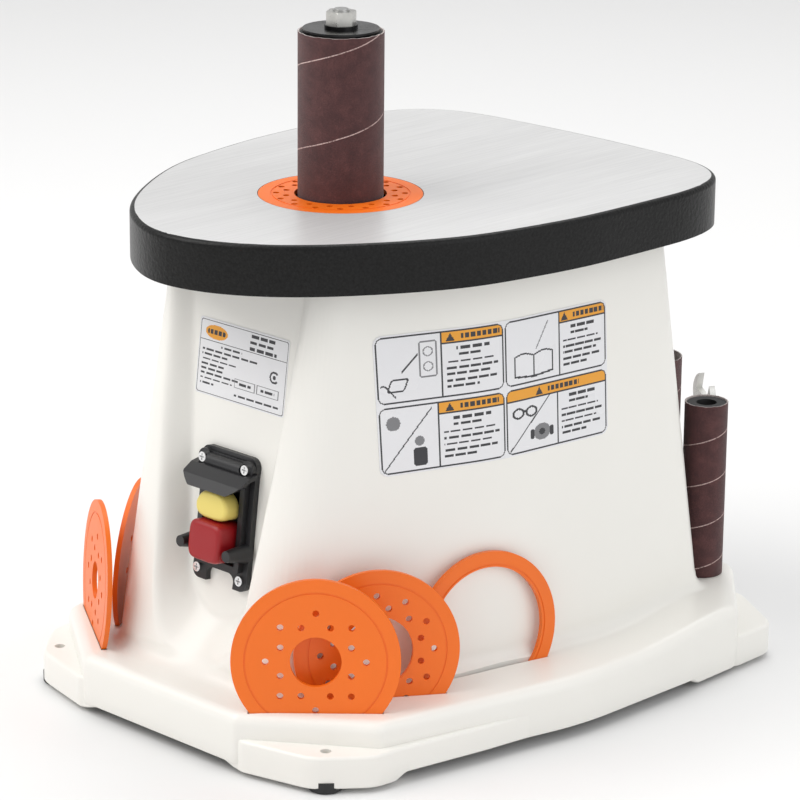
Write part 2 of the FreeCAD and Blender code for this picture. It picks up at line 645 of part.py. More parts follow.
def make_wheel():
    """Worm wheel with its teeth, on an axle along X."""
    blank = bar(WHEEL_R + WORM_MODULE, (-6, WHEEL_Y, WHEEL_Z), (6, WHEEL_Y, WHEEL_Z))
    gaps = []
    root = WHEEL_R - 1.25 * WORM_MODULE
    for i in range(WHEEL_TEETH):
        gap = Part.makeBox(14, 2.2, 6, V(-7, WHEEL_Y - 1.1, WHEEL_Z + root))
        gap.rotate(V(0, WHEEL_Y, WHEEL_Z), V(1, 0, 0), 360 * (i + 0.5) / WHEEL_TEETH)
        gaps.append(gap)
    blank = blank.cut(Part.makeCompound(gaps))
    centre = V(0, WHEEL_Y, WHEEL_Z)
    throat = Part.makeTorus(WHEEL_R + WORM_R, WORM_R + WORM_MODULE * 0.8 + 0.4, centre, V(1, 0, 0))
    bore = bar(5.0, (-10, WHEEL_Y, WHEEL_Z), (10, WHEEL_Y, WHEEL_Z))
    spot = [bar(3.0, (-10, WHEEL_Y + 12 * math.cos(a), WHEEL_Z + 12 * math.sin(a)),
                (10, WHEEL_Y + 12 * math.cos(a), WHEEL_Z + 12 * math.sin(a)))
            for a in [math.radians(60 * k) for k in range(6)]]
    return cut(blank, [bore] + spot + [throat])


CRANK_X = 27.0
ROD_X = 34.0
CARRIAGE_PIN_Z = CARRIAGE_Z + CARRIAGE_H / 2


def make_crank():
    disc = bar(14, (CRANK_X, WHEEL_Y, WHEEL_Z), (CRANK_X + 5, WHEEL_Y, WHEEL_Z))
    boss = bar(4.0, (CRANK_X + 4, WHEEL_Y - CRANK_R, WHEEL_Z), (ROD_X + 6.5, WHEEL_Y - CRANK_R, WHEEL_Z))
    bore = bar(5.0, (CRANK_X - 1, WHEEL_Y, WHEEL_Z), (CRANK_X + 6, WHEEL_Y, WHEEL_Z))
    return cut(disc.fuse(boss), [bore])


def make_rod():
    """Connecting rod with an eye at each end."""
    top = (ROD_X, WHEEL_Y - CRANK_R, WHEEL_Z)
    low = (ROD_X, WHEEL_Y, CARRIAGE_PIN_Z)
    thick = 5.0
    eye_top = bar(8.0, top, (ROD_X + thick, top[1], top[2]))
    eye_low = bar(8.0, low, (ROD_X + thick, low[1], low[2]))
    corners = [V(ROD_X, top[1] - 4, top[2]), V(ROD_X, top[1] + 4, top[2]), V(ROD_X, low[1] + 4, low[2]),
               V(ROD_X, low[1] - 4, low[2]), V(ROD_X, top[1] - 4, top[2])]
    shank = Part.Face(Part.makePolygon(corners)).extrude(V(thick, 0, 0))
    rod = fuse([eye_top, eye_low, shank])
    hole_top = bar(4.0 + RUN, (ROD_X - 1, top[1], top[2]), (ROD_X + 9, top[1], top[2]))
    hole_low = bar(4.0, (ROD_X - 1, low[1], low[2]), (ROD_X + 9, low[1], low[2]))
    return cut(rod, [hole_top, hole_low])


def make_carriage():
    z0 = CARRIAGE_Z
    z1 = CARRIAGE_Z + CARRIAGE_H
    block = box(-GUIDE_X - 9, GUIDE_X + 9, SPINDLE_Y - 14, SPINDLE_Y + 14, z0, z1)
    arm = box(22, 31.5, WHEEL_Y - 7, SPINDLE_Y, z0, z1)
    pocket = cyl(16.0, z0, z1, 0, SPINDLE_Y)
    parts = [block.fuse(cyl(21, z0 - 3, z1, 0, SPINDLE_Y)), arm]
    tools = [pocket, cyl(10.0, z0 - 10, z1 + 10, 0, SPINDLE_Y),
             bar(4.0, (21, WHEEL_Y, CARRIAGE_PIN_Z), (40, WHEEL_Y, CARRIAGE_PIN_Z))]
    for s in (-1, 1):
        tools.append(cyl(GUIDE_R + RUN, z0 - 5, z1 + 5, s * GUIDE_X, SPINDLE_Y))
    return cut(fuse(parts), tools)


# ---------------------------------------------------------------- motor
def make_motor():
    can = ring(MOTOR_R, MOTOR_R - 2, MOTOR_BOTTOM + 16, MOTOR_TOP - 16, 0, MOTOR_Y)
    stator = ring(MOTOR_R - 2, 26, MOTOR_BOTTOM + 24, MOTOR_TOP - 24, 0, MOTOR_Y)
    slots = [cyl(3.0, 0, 300, 31 * math.cos(a), MOTOR_Y + 31 * math.sin(a))
             for a in [math.radians(15 * k) for k in range(24)]]
    stator = cut(stator, slots)
    top = cyl(MOTOR_R, MOTOR_TOP - 16, MOTOR_TOP, 0, MOTOR_Y).cut(
        cyl(MOTOR_R - 4, MOTOR_TOP - 17, MOTOR_TOP - 5, 0, MOTOR_Y))
    ears = [cyl(7.5, MOTOR_TOP - 10, MOTOR_TOP, s * POST_X, MOTOR_Y + t * POST_Y)
            for s in (-1, 1) for t in (-1, 1)]
    top = fuse([top] + ears)
    low = cyl(MOTOR_R, MOTOR_BOTTOM, MOTOR_BOTTOM + 16, 0, MOTOR_Y).cut(
        cyl(MOTOR_R - 4, MOTOR_BOTTOM + 5, MOTOR_BOTTOM + 17, 0, MOTOR_Y))
    vents = [box(-2, 2, 16, 38, -1, 400) for k in range(8)]
    for k, vent in enumerate(vents):
        vent.rotate(V(0, 0, 0), V(0, 0, 1), 45 * k + 22.5)
        vent.translate(V(0, MOTOR_Y, 0))
    bores = [cyl(11.0, z - 1, z + 20, 0, MOTOR_Y) for z in (MOTOR_BOTTOM, MOTOR_TOP - 18)]
    bells = [cut(top, vents + bores), cut(low, vents + bores)]
    rotor = fuse([cyl(25.5, MOTOR_BOTTOM + 26, MOTOR_TOP - 26, 0, MOTOR_Y),
                  cyl(6.0, MOTOR_BOTTOM - 12, PULLEY_Z + PULLEY_H + 2, 0, MOTOR_Y)])
    fan = fuse([ring(36, 6.0, MOTOR_BOTTOM - 9, MOTOR_BOTTOM - 7, 0, MOTOR_Y),
                ring(9, 6.0, MOTOR_BOTTOM - 12, MOTOR_BOTTOM - 3, 0, MOTOR_Y)] +
               [fan_blade(k) for k in range(9)])
    return can, stator, bells, rotor, fan


def fan_blade(k):
    blade = box(8, 35, -0.8, 0.8, MOTOR_BOTTOM - 8, MOTOR_BOTTOM - 2)
    blade.rotate(V(0, 0, 0), V(0, 0, 1), 40 * k)
    blade.translate(V(0, MOTOR_Y, 0))
    return blade


# ---------------------------------------------------------------- switch
def on_panel(shape):
    """Place a shape drawn flat: local x across, local z up, local -y out of the panel."""
    placed = shape.copy()
    placed.rotate(V(0, 0, 0), V(1, 0, 0), -PANEL_LEAN)
    placed.translate(V(0, panel_y(SWITCH_Z), SWITCH_Z))
    return placed


SCREW_AT = [(-18.2, 34.2), (18.2, 34.2), (-18.2, -34.2), (18.2, -34.2)]


def upright_plate(corners, y0, y1):
    """Plate drawn by its front view, corners (x, z, radius), between depths y0 and y1."""
    flat = plate(corners, 0, y1 - y0)
    flat.rotate(V(0, 0, 0), V(1, 0, 0), 90)
    flat.translate(V(0, y1, 0))
    return flat


def make_switch():
    half_w = SWITCH_W / 2
    half_h = SWITCH_H / 2
    outline = [(half_w, half_h - 12, 4), (half_w + 1, half_h, 6), (-half_w - 1, half_h, 6),
               (-half_w, half_h - 12, 4), (-half_w, 12 - half_h, 4), (-half_w - 1, -half_h, 6),
               (half_w + 1, -half_h, 6), (half_w, 12 - half_h, 4)]
    bezel = upright_plate(outline, -4.0, -0.05)
    frame = upright_plate([(19, 27, 3), (-19, 27, 3), (-19, -30, 3), (19, -30, 3)], -8.0, -0.05)
    posts = []
    for s in (-1, 1):
        posts.append(Part.makeCone(6.0, 3.4, 17.0, V(s * 19.8, -3.0, -17.0), V(0, -1, 0)))
    bezel = fuse([bezel, frame] + posts)
    notch = upright_plate([(12.5, -32, 5), (-12.5, -32, 5), (-9, -60, 2), (9, -60, 2)], -12, 2)
    bezel = cut(bezel, [box(-15.2, 15.2, -30, 10, -26, 25), notch] +
                [bar(2.2, (x, -10, z), (x, 2, z)) for x, z in SCREW_AT])
    hood = make_hood()
    paddle_block = box(-14, 14, -21, -6, -24.5, 0).fuse(box(-14, 14, -6.5, -1, -22, -1))
    paddle = paddle_block.cut(box(-20, 20, -30, -15, -40, -20).fuse(box(-20, 20, -22, -19, -26, -23)))
    paddle = paddle.makeChamfer(1.2, [e for e in paddle.Edges if abs(e.CenterOfMass.y + 21) < 0.2])
    front_view = [(-13.5, 0.6), (13.5, 0.6), (13.5, 6), (8, 17.8), (-8, 17.8), (-13.5, 6), (-13.5, 0.6)]
    points = [V(x, 0, z) for x, z in front_view]
    key = Part.Face(Part.makePolygon(points)).extrude(V(0, 11, 0))
    key.translate(V(0, -16.5, 0))
    tongue = box(-4, 4, -6, 14, 8, 14)
    key = key.fuse(tongue)
    body = box(-15, 15, WALL + 0.2, 34, -25, 25).fuse(box(-14.5, 14.5, -1, WALL + 0.4, -24.5, 24.5))
    body = cut(body, [box(-4.4, 4.4, -2, 15, 7.6, 14.4), box(-14.2, 14.2, -2, 1.6, -22.5, -0.6)])
    terminals = [box(x - 3, x + 3, 33.8, 40, z - 0.4, z + 0.4) for x in (-8, 8) for z in (-14, 0, 14)]
    body = fuse([body] + terminals)
    screws = []
    for x, z in SCREW_AT:
        depth = -4.0 if z < 0 else -7.0
        head = bar(3.0, (x, depth - 2.2, z), (x, depth, z))
        shank = bar(1.9, (x, depth, z), (x, 8, z))
        cross = box(x - 2, x + 2, depth - 3, depth - 1, z - 0.4, z + 0.4).fuse(
            box(x - 0.4, x + 0.4, depth - 3, depth - 1, z - 2, z + 2))
        screws.append(head.fuse(shank).cut(cross))
    return bezel, hood, paddle, key, body, screws


def make_hood():
    """Visor over the key: a round bar between two screw bosses and a curved flap that leans out."""
    top = upright_plate([(23, 38.5, 4), (-23, 38.5, 4), (-23, 29.5, 4), (23, 29.5, 4)], -5.5, -4.1)
    roll = Part.makeCylinder(4.4, 31, V(-15.5, -5.6, 33.0), V(1, 0, 0))
    bosses = [bar(5.2, (x, -7.0, z), (x, -4.1, z)) for x, z in SCREW_AT[:2]]
    side = [V(0, -4.3, 32.5), V(0, -11, 30.5), V(0, -18.0, 25.0), V(0, -21.5, 19.0), V(0, -19.9, 18.4),
            V(0, -16.4, 23.6), V(0, -10, 28.0), V(0, -4.3, 29.6), V(0, -4.3, 32.5)]
    flap = Part.Face(Part.makePolygon([V(-25, p.y, p.z) for p in side])).extrude(V(50, 0, 0))
    smile = Part.makeCylinder(34.0, 60, V(0, -40, 49.0), V(0, 1, 0))
    hood = fuse([top, roll, flap.common(smile)] + bosses).common(box(-40, 40, -60, -4.1, 0, 60))
    wells = [bar(3.9, (x, -30, z), (x, -7.0, z)) for x, z in SCREW_AT[:2]]
    wells += [bar(2.2, (x, -30, z), (x, 3, z)) for x, z in SCREW_AT[:2]]
    return cut(hood, wells)


# ---------------------------------------------------------------- labels, port, gland, covers
def make_rating_label():
    lean = upright_plate([(38, 23.2, 2), (-38, 23.2, 2), (-38, -23.2, 2), (38, -23.2, 2)], -0.35, -0.05)
    lean.rotate(V(0, 0, 0), V(1, 0, 0), -PANEL_LEAN)
    z = TABLE_TOP - 91.25
    lean.translate(V(0, panel_y(z), z))
    return lean


def make_caution_label():
    """Thin label that follows the convex right wall."""
    skin = loft(rounded(grown(body_wire(150), 0.35), 150), rounded(grown(body_wire(262), 0.35), 262))
    core = loft(rounded(grown(body_wire(150), 0.06), 150), rounded(grown(body_wire(262), 0.06), 262))
    shell = skin.cut(core)
    window = plate([(-80, 165, 6), (80, 165, 6), (80, 249, 6), (-80, 249, 6)], 60, 160)
    window.rotate(V(0, 0, 0), V(1, 0, 0), 90)
    window.rotate(V(0, 0, 0), V(0, 0, 1), 90)
    window.translate(V(0, -22, 0))
    return shell.common(window)


def make_port():
    """Dust port and the duct that joins it to the shroud under the table insert."""
    pipe = bar(PORT_R, PORT_INNER, PORT_OUTER)
    inner = V(*PORT_INNER)
    run = V(*PORT_OUTER) - inner
    share = (PORT_STEP_Y - PORT_INNER[1]) / (PORT_OUTER[1] - PORT_INNER[1])
    thick = bar(PORT_R + 1, PORT_INNER, tuple(inner + run * share))
    collar = bar(PORT_R + 3, PORT_INNER, tuple(inner + run * 0.12))
    return pipe.fuse(thick).fuse(collar).cut(bar(PORT_R - 2, *port_line(0.3)))


def gland_at(y):
    """Point on the cable gland's axis, which runs front to rear."""
    return (GLAND_PLACE[0], y, GLAND_PLACE[1])


def port_line(more):
    """Ends of the port's axis, each moved outwards by a share of its length."""
    inner = V(*PORT_INNER)
    outer = V(*PORT_OUTER)
    run = outer - inner
    return tuple(inner - run * more), tuple(outer + run * more)


def make_bottom_cover():
    sheet = plate(inset(mirrored(apron_half(BASE_FRONT, BASE_SIDE)), WALL + 1.6), 9.5, 11.0)
    tools = [cyl(FOOT_R + 5.5, 0, 30, x, y) for x, y in foot_places()]
    vents = [box(-30, 30, y - 2, y + 2, 0, 30) for y in range(38, 90, 10)]
    tools += vents
    tools += [cyl(2.2, 0, 30, x, y) for x, y in COVER_SCREWS]
    return cut(sheet, tools)


COVER_SCREWS = [(-60, -178), (60, -178), (-100, 176), (100, 176), (-150, 0), (150, 0)]


def make_wrench():
    """Open-end wrench that stands on its tail in a slot behind the right drum."""
    half = 2.0
    head_z = 155.0
    tail_z = WRENCH_FOOT + 8.5
    handle = box(-7, 7, -half, half, tail_z, head_z - 6)
    head = bar(13.5, (0, -half, head_z), (0, half, head_z))
    tail = bar(8.5, (0, -half, tail_z), (0, half, tail_z))
    jaw = Part.makeBox(16.3, 12, 40, V(-8.15, -6, 0))
    jaw.rotate(V(0, 0, 0), V(0, 1, 0), 15)
    jaw.translate(V(0, 0, head_z))
    panels = [box(-3.5, 3.5, half - 0.8, half + 1, 60, 135), box(-3.5, 3.5, -half - 1, 0.8 - half, 60, 135)]
    return turned(cut(fuse([handle, head, tail]), [jaw] + panels))


def make_foot(x, y):
    foot = cyl(FOOT_R, 0, FOOT_HEIGHT + 4, x, y)
    foot = foot.makeChamfer(1.0, [e for e in foot.Edges if abs(e.CenterOfMass.z) < 0.01])
    return foot.cut(cyl(BOLT_HOLE_R + 0.8, -1, 20, x, y)) if y < 0 else foot


def pan_screw(x, y, z, r, length, up):
    """Screw along Z whose head rests at height z; up is +1 when the shank points up."""
    head = cyl(r * 1.8, min(z, z - up * r), max(z, z - up * r), x, y)
    shank = cyl(r, min(z, z + up * length), max(z, z + up * length), x, y)
    cross = fuse([box(x - r, x + r, y - 0.4, y + 0.4, 0, 0.8), box(x - 0.4, x + 0.4, y - r, y + r, 0, 0.8)])
    cross.translate(V(0, 0, z - up * r if up > 0 else z + r - 0.8))
    return head.fuse(shank).cut(cross)


# ---------------------------------------------------------------- build every node
save("housing", make_housing())
save("rubber_feet", [make_foot(x, y) for x, y in foot_places()])
save("bottom_cover", make_bottom_cover())
save("bottom_cover_screws", [pan_screw(x, y, 9.5, 1.5, 14, 1) for x, y in COVER_SCREWS])
save("table", make_table())
save("table_screws", [pan_screw(x, y, BODY_TOP - 6, 3.0, 20, 1) for x, y in TABLE_SCREWS] +
     [pan_screw(x, y, BODY_TOP - WALL, 3.0, 17, 1) for x, y in DECK_SCREWS])

lying = insert_disc("table_insert_2in")
lying.translate(V(0, SPINDLE_Y, INSERT_BOTTOM))
save("table_insert_2in", lying)
save("insert_1in", stored_insert("insert_1in", 0, 1))
save("insert_1_5in", stored_insert("insert_1_5in", 1, 1))
save("insert_3in", stored_insert("insert_3in", 2, 1))
save("insert_0_75in", stored_insert("insert_0_75in", 0, -1))
save("insert_0_5in", stored_insert("insert_0_5in", 1, -1))

save("spindle", make_spindle())
save("spindle_ring", ring(8.2, 5.5, CARRIAGE_Z - 2.1, CARRIAGE_Z - 1.0, 0, SPINDLE_Y))
save("drum_washer", ring(20.0, SEAT_R + 0.1, SEAT_Z, SLEEVE_BOTTOM, 0, SPINDLE_Y))
save("rubber_drum_2in", drum(SLEEVE_R - SLEEVE_WALL - 0.05, SLEEVE_BOTTOM, SEAT_R + 0.1))
save("sanding_sleeve_2in", sleeve(SLEEVE_R, SLEEVE_BOTTOM))
save("top_washer", ring(22.85, 5.2, SLEEVE_TOP, WASHER_TOP, 0, SPINDLE_Y))
save("nut_washer", ring(10.0, 5.2, WASHER_TOP, WASHER_TOP + 2, 0, SPINDLE_Y))
nut = hexagon(16, WASHER_TOP + 2, WASHER_TOP + 10, 0, SPINDLE_Y).cut(cyl(5.02, 0, 500, 0, SPINDLE_Y))
save("spindle_nut", nut.common(Part.makeCone(15.2, 7.2, 12, V(0, SPINDLE_Y, WASHER_TOP + 0.5))))

save("drive_hub", make_hub())
key_y = SPINDLE_Y - SPINDLE_R
save("hub_key", box(-2.5, 2.5, key_y - 2.2, key_y + 2.9, WHEEL_Z - 4, WHEEL_Z + 8))
save("spindle_pulley", pulley(SPINDLE_PULLEY_R, HUB_R, PULLEY_Z, PULLEY_H, 0, SPINDLE_Y))
save("hub_bearings", [bearing(z, HUB_R, BEARING_R, BEARING_H) for z in (UPPER_BEARING_Z, LOWER_BEARING_Z)])
save("drive_frame", make_drive_frame())
save("worm_wheel", make_wheel())
save("crank_axle", bar(5.0, (-CHEEK_X, WHEEL_Y, WHEEL_Z), (CRANK_X + 5, WHEEL_Y, WHEEL_Z)))
bushes = []
for x0, x1 in ((3 - CHEEK_X, -18), (18, 25)):
    bush = bar(6.0, (x0, WHEEL_Y, WHEEL_Z), (x1, WHEEL_Y, WHEEL_Z))
    bushes.append(bush.cut(bar(5.0 + RUN, (x0 - 1, WHEEL_Y, WHEEL_Z), (x1 + 1, WHEEL_Y, WHEEL_Z))))
save("axle_bushes", bushes)
save("crank", make_crank())
save("connecting_rod", make_rod())
save("carriage", make_carriage())
save("carriage_pin", bar(4.0, (22, WHEEL_Y, CARRIAGE_PIN_Z), (33.4, WHEEL_Y, CARRIAGE_PIN_Z)))
save("carriage_bearing", bearing(CARRIAGE_Z, 6.0, 16.0, 12.0))
save("guide_rods", [cyl(GUIDE_R, GUIDE_LOW, SHELF_Z + 9, s * GUIDE_X, SPINDLE_Y) for s in (-1, 1)])

can, stator, bells, rotor, fan = make_motor()
save("motor_can", can)
save("motor_stator", stator)
save("motor_end_bells", bells)
save("motor_rotor", rotor)
save("motor_fan", fan)
save("motor_pulley", pulley(MOTOR_PULLEY_R, 6.0, PULLEY_Z, PULLEY_H, 0, MOTOR_Y))
save("drive_belt", make_belt())
can_top = BODY_TOP - HANGER_THICK
can_body = cyl(13, can_top - 62, can_top, 46.5, MOTOR_Y)
save("start_capacitor", can_body.fuse(ring(14, 12, can_top - 50, can_top - 44, 46.5, MOTOR_Y)))

bezel, hood, paddle, key, switch_body, screws = make_switch()
save("switch_plate", on_panel(bezel))
save("switch_hood", on_panel(hood))
save("switch_paddle", on_panel(paddle))
save("safety_key", on_panel(key))
save("switch_body", on_panel(switch_body))
save("switch_screws", [on_panel(s) for s in screws])
save("rating_label", make_rating_label())
save("caution_label", make_caution_label())
save("dust_port", make_port())
gland = fuse([bar(8.0, gland_at(118), gland_at(139)), bar(11.0, gland_at(136), gland_at(141)),
              bar(7.0, gland_at(139), gland_at(158))])
save("cable_gland", gland.cut(bar(3.6, gland_at(100), gland_at(170))))

corner_bottom = PLATFORM_TOP + REST_GAP
side_bottom = SIDE_LEDGE + REST_GAP
middle_bottom = MIDDLE_LEDGE + REST_GAP
x, y = CORNER_PLACE
save("rubber_drum_1in", drum(12.85, corner_bottom, DRUM_BORE_R, x, y))
save("sanding_sleeve_1in", sleeve(13.75, corner_bottom, x, y))
save("sanding_sleeve_0_75in", sleeve(9.5, corner_bottom, -x, y))
x, y = SIDE_PLACE
save("sanding_sleeve_1_5in", sleeve(MIDDLE_SLEEVE_R, side_bottom, x, y))
save("rubber_drum_1_5in", drum(MIDDLE_SLEEVE_R - SLEEVE_WALL - 0.05, side_bottom, DRUM_BORE_R, -x, y))
x, y = MIDDLE_PLACE
save("rubber_drum_3in", drum(BIG_SLEEVE_R - SLEEVE_WALL - 0.05, middle_bottom, DRUM_BORE_R, x, y))
save("sanding_sleeve_3in", sleeve(BIG_SLEEVE_R, middle_bottom, x, y))
save("wrench", make_wrench())
print("nodes", len(MADE))
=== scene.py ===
# %% [markdown]
# # A bench-top oscillating spindle sander
# This lesson dresses a finished mechanical model. The frame holds every part at its real size,
# and each cell below gives one piece or one finish the look of the real thing. Lengths are in
# metres once they reach Blender, and in millimetres where a shape is worked out.

# %% Load the frame
import json
import math
import bpy
import numpy as np
from mathutils import Matrix, Vector


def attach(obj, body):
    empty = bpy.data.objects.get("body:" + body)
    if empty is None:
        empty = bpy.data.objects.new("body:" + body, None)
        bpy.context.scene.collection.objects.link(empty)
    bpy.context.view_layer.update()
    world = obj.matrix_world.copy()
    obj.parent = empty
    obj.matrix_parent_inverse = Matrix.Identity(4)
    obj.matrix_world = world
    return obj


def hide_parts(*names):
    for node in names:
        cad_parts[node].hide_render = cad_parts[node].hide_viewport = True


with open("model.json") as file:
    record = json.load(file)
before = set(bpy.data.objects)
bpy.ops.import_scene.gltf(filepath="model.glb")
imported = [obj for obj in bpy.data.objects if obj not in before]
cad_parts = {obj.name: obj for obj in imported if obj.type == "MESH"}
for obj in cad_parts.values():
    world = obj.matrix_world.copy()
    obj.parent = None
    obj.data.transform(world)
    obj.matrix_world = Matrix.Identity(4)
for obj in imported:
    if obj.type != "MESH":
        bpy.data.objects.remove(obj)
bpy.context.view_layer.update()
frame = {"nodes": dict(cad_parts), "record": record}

MM = 0.001
RECORD = frame["record"]

# %% [markdown]
# The camera is placed first, because everything else is judged through it. A product shot is
# taken from well back with a long lens, which keeps the upright lines nearly parallel. The
# camera's direction is built from an azimuth and an elevation, then it is rolled a little.

# %% Camera
AZIMUTH, ELEVATION, DISTANCE = 44.98, 14.095, 2.1546
YAW, PITCH, ROLL = -1.006, 3.294, 0.514
TARGET = np.array([0.0, -0.0475, 0.311])


def direction(azimuth, elevation):
    """Unit vector from the target: azimuth turns from the front to the right, elevation lifts."""
    a, e = math.radians(azimuth), math.radians(elevation)
    return np.array([math.sin(a) * math.cos(e), -math.cos(a) * math.cos(e), math.sin(e)])


def make_camera():
    """Camera axes: look back along the direction, right is level, then both roll about the view."""
    ahead = -direction(AZIMUTH + YAW, ELEVATION + PITCH)
    turn = math.radians(AZIMUTH + YAW)
    level = np.array([math.cos(turn), math.sin(turn), 0.0])
    upright = np.cross(level, ahead)
    roll = math.radians(ROLL)
    right = math.cos(roll) * level + math.sin(roll) * upright
    up = -math.sin(roll) * level + math.cos(roll) * upright
    place = TARGET + DISTANCE * direction(AZIMUTH, ELEVATION)
    data = bpy.data.cameras.new("camera")
    data.lens, data.sensor_width = 161.70, 36.0
    data.clip_start, data.clip_end = 0.05, 50.0
    camera = bpy.data.objects.new("camera", data)
    matrix = np.eye(4)
    matrix[:3, 0], matrix[:3, 1], matrix[:3, 2], matrix[:3, 3] = right, up, -ahead, place
    camera.matrix_world = Matrix([list(row) for row in matrix])
    bpy.context.scene.collection.objects.link(camera)
    bpy.context.scene.camera = camera
    return camera


camera = make_camera()
print("camera at", [round(v, 3) for v in camera.matrix_world.translation])

# %% [markdown]
# A white product stands on a white sweep. Large soft lights wrap round it: one key light from
# the front left, a weaker fill from the right and a broad top light for the ground iron table.

# %% Studio
def make_floor():
    """Floor with a curved rise behind it: a quarter circle joins the flat to the wall."""
    bend = np.linspace(0, math.pi / 2, 24)
    radius, reach = 2.0, 3.0
    along = np.concatenate([[-6.0], reach + radius * np.sin(bend), [reach + radius]])
    rise = np.concatenate([[0.0], radius - radius * np.cos(bend), [6.0]])
    away = -direction(AZIMUTH, 0.0)
    side = np.array([away[1], -away[0], 0.0])
    widths = np.array([-7.0, 7.0])
    points = (along[:, None, None] * away + widths[None, :, None] * side)
    points[:, :, 2] = rise[:, None] - 0.0002
    floor = grid_piece("studio_floor", points)
    return floor


def area_light(name, azimuth, elevation, distance, size, power, tint):
    """Square area light that points at the middle of the machine."""
    data = bpy.data.lights.new(name, "AREA")
    data.shape, data.size, data.energy, data.color = "SQUARE", size, power, tint
    lamp = bpy.data.objects.new(name, data)
    where = direction(azimuth, elevation) * distance
    lamp.location = where + np.array([0, 0, 0.2])
    lamp.rotation_mode = "QUATERNION"
    lamp.rotation_quaternion = (-Vector(where)).to_track_quat("-Z", "Y")
    bpy.context.scene.collection.objects.link(lamp)
    return lamp


def grid_piece(name, points, wrap_rows=False, wrap_columns=False, flip=False, caps=False, smooth=True,
               heights=None):
    """Mesh object from a rows x columns x 3 array of points in metres.

    Neighbouring grid points make quads, wrapping round where asked. caps closes the first and
    last rows with a fan to their mean point. Where heights gives a value for each row, a UV map
    called wrap holds (share of a turn, height)."""
    rows, columns = points.shape[:2]
    index = np.arange(rows * columns).reshape(rows, columns)
    r = np.arange(rows if wrap_rows else rows - 1)
    c = np.arange(columns if wrap_columns else columns - 1)
    a = index[r][:, c]
    b = index[r][:, (c + 1) % columns]
    d = index[(r + 1) % rows][:, c]
    e = index[(r + 1) % rows][:, (c + 1) % columns]
    quads = np.stack([a, b, e, d], axis=-1).reshape(-1, 4)
    vertices = points.reshape(-1, 3)
    faces = [tuple(q) for q in (quads[:, ::-1] if flip else quads).tolist()]
    if caps:
        ends = np.stack([points[0].mean(axis=0), points[-1].mean(axis=0)])
        vertices = np.concatenate([vertices, ends])
        first, last = rows * columns, rows * columns + 1
        for row, hub, turn in ((index[0], first, not flip), (index[-1], last, flip)):
            for i in range(columns):
                j = (i + 1) % columns
                faces.append((hub, row[j], row[i]) if turn else (hub, row[i], row[j]))
    mesh = bpy.data.meshes.new(name)
    mesh.from_pydata(vertices.tolist(), [], faces)
    mesh.update()
    mesh.polygons.foreach_set("use_smooth", [smooth] * len(mesh.polygons))
    if heights is not None:
        around = np.broadcast_to(c / columns, a.shape)
        low, high = heights[r][:, None] + 0 * around, heights[(r + 1) % rows][:, None] + 0 * around
        beyond = around + 1 / columns
        corners = np.stack([around, low, beyond, low, beyond, high, around, high], axis=-1)
        corners = corners.reshape(-1, 4, 2)
        corners = corners[:, ::-1] if flip else corners
        layer = mesh.uv_layers.new(name="wrap")
        layer.data.foreach_set("uv", corners.reshape(-1).astype(np.float32))
    piece = bpy.data.objects.new(name, mesh)
    bpy.context.scene.collection.objects.link(piece)
    return piece


floor = make_floor()
area_light("key_light", -30, 48, 2.6, 2.0, 39, (1.0, 0.985, 0.96))
area_light("fill_light", 95, 22, 2.8, 2.2, 15, (0.97, 0.985, 1.0))
area_light("top_light", 200, 68, 2.6, 2.0, 31, (1.0, 1.0, 1.0))
world = bpy.data.worlds.new("studio")
world.use_nodes = True
world.node_tree.nodes["Background"].inputs["Color"].default_value = (1.0, 1.0, 1.0, 1)
world.node_tree.nodes["Background"].inputs["Strength"].default_value = 0.66
bpy.context.scene.world = world
bpy.context.scene.view_settings.view_transform = "Standard"

# %% [markdown]
# Finishes come next. Each is a small node tree on object coordinates, so that a pattern keeps
# its real scale. The helpers below save writing the same links many times: a noise that is
# stretched or not, a ramp between two values, and a bump from any height.

# %% Material helpers
def new_material(name, color, roughness, metallic=0.0, coat=0.0, sheen=0.0):
    """Principled material with plain values. Patterns are added to it afterwards."""
    material = bpy.data.materials.new(name)
    material.use_nodes = True
    shader = material.node_tree.nodes["Principled BSDF"]
    shader.inputs["Base Color"].default_value = (*color, 1)
    shader.inputs["Roughness"].default_value = roughness
    shader.inputs["Metallic"].default_value = metallic
    shader.inputs["Coat Weight"].default_value = coat
    shader.inputs["Coat Roughness"].default_value = 0.15
    shader.inputs["Sheen Weight"].default_value = sheen
    return material, material.node_tree, shader


def coordinates(tree, stretch=(1, 1, 1), kind="Object"):
    """Object or UV coordinates, scaled along each axis."""
    source = tree.nodes.new("ShaderNodeTexCoord")
    mapping = tree.nodes.new("ShaderNodeMapping")
    mapping.inputs["Scale"].default_value = stretch
    tree.links.new(source.outputs[kind], mapping.inputs["Vector"])
    return mapping.outputs["Vector"]


def noise(tree, vector, scale, detail=4.0, rough=0.55):
    texture = tree.nodes.new("ShaderNodeTexNoise")
    texture.inputs["Scale"].default_value = scale
    texture.inputs["Detail"].default_value = detail
    texture.inputs["Roughness"].default_value = rough
    tree.links.new(vector, texture.inputs["Vector"])
    return texture.outputs["Fac"]


def ramp(tree, value, stops):
    """Colour or value ramp. Stops are (place, (r, g, b))."""
    node = tree.nodes.new("ShaderNodeValToRGB")
    elements = node.color_ramp.elements
    while len(elements) < len(stops):
        elements.new(0.5)
    for element, (place, color) in zip(elements, stops):
        element.position, element.color = place, (*color, 1)
    tree.links.new(value, node.inputs["Fac"])
    return node.outputs["Color"]


def maths(tree, operation, a, b=None):
    node = tree.nodes.new("ShaderNodeMath")
    node.operation = operation
    for socket, value in zip(node.inputs, (a, b)):
        if value is None:
            continue
        if isinstance(value, (int, float)):
            socket.default_value = value
        else:
            tree.links.new(value, socket)
    return node.outputs[0]


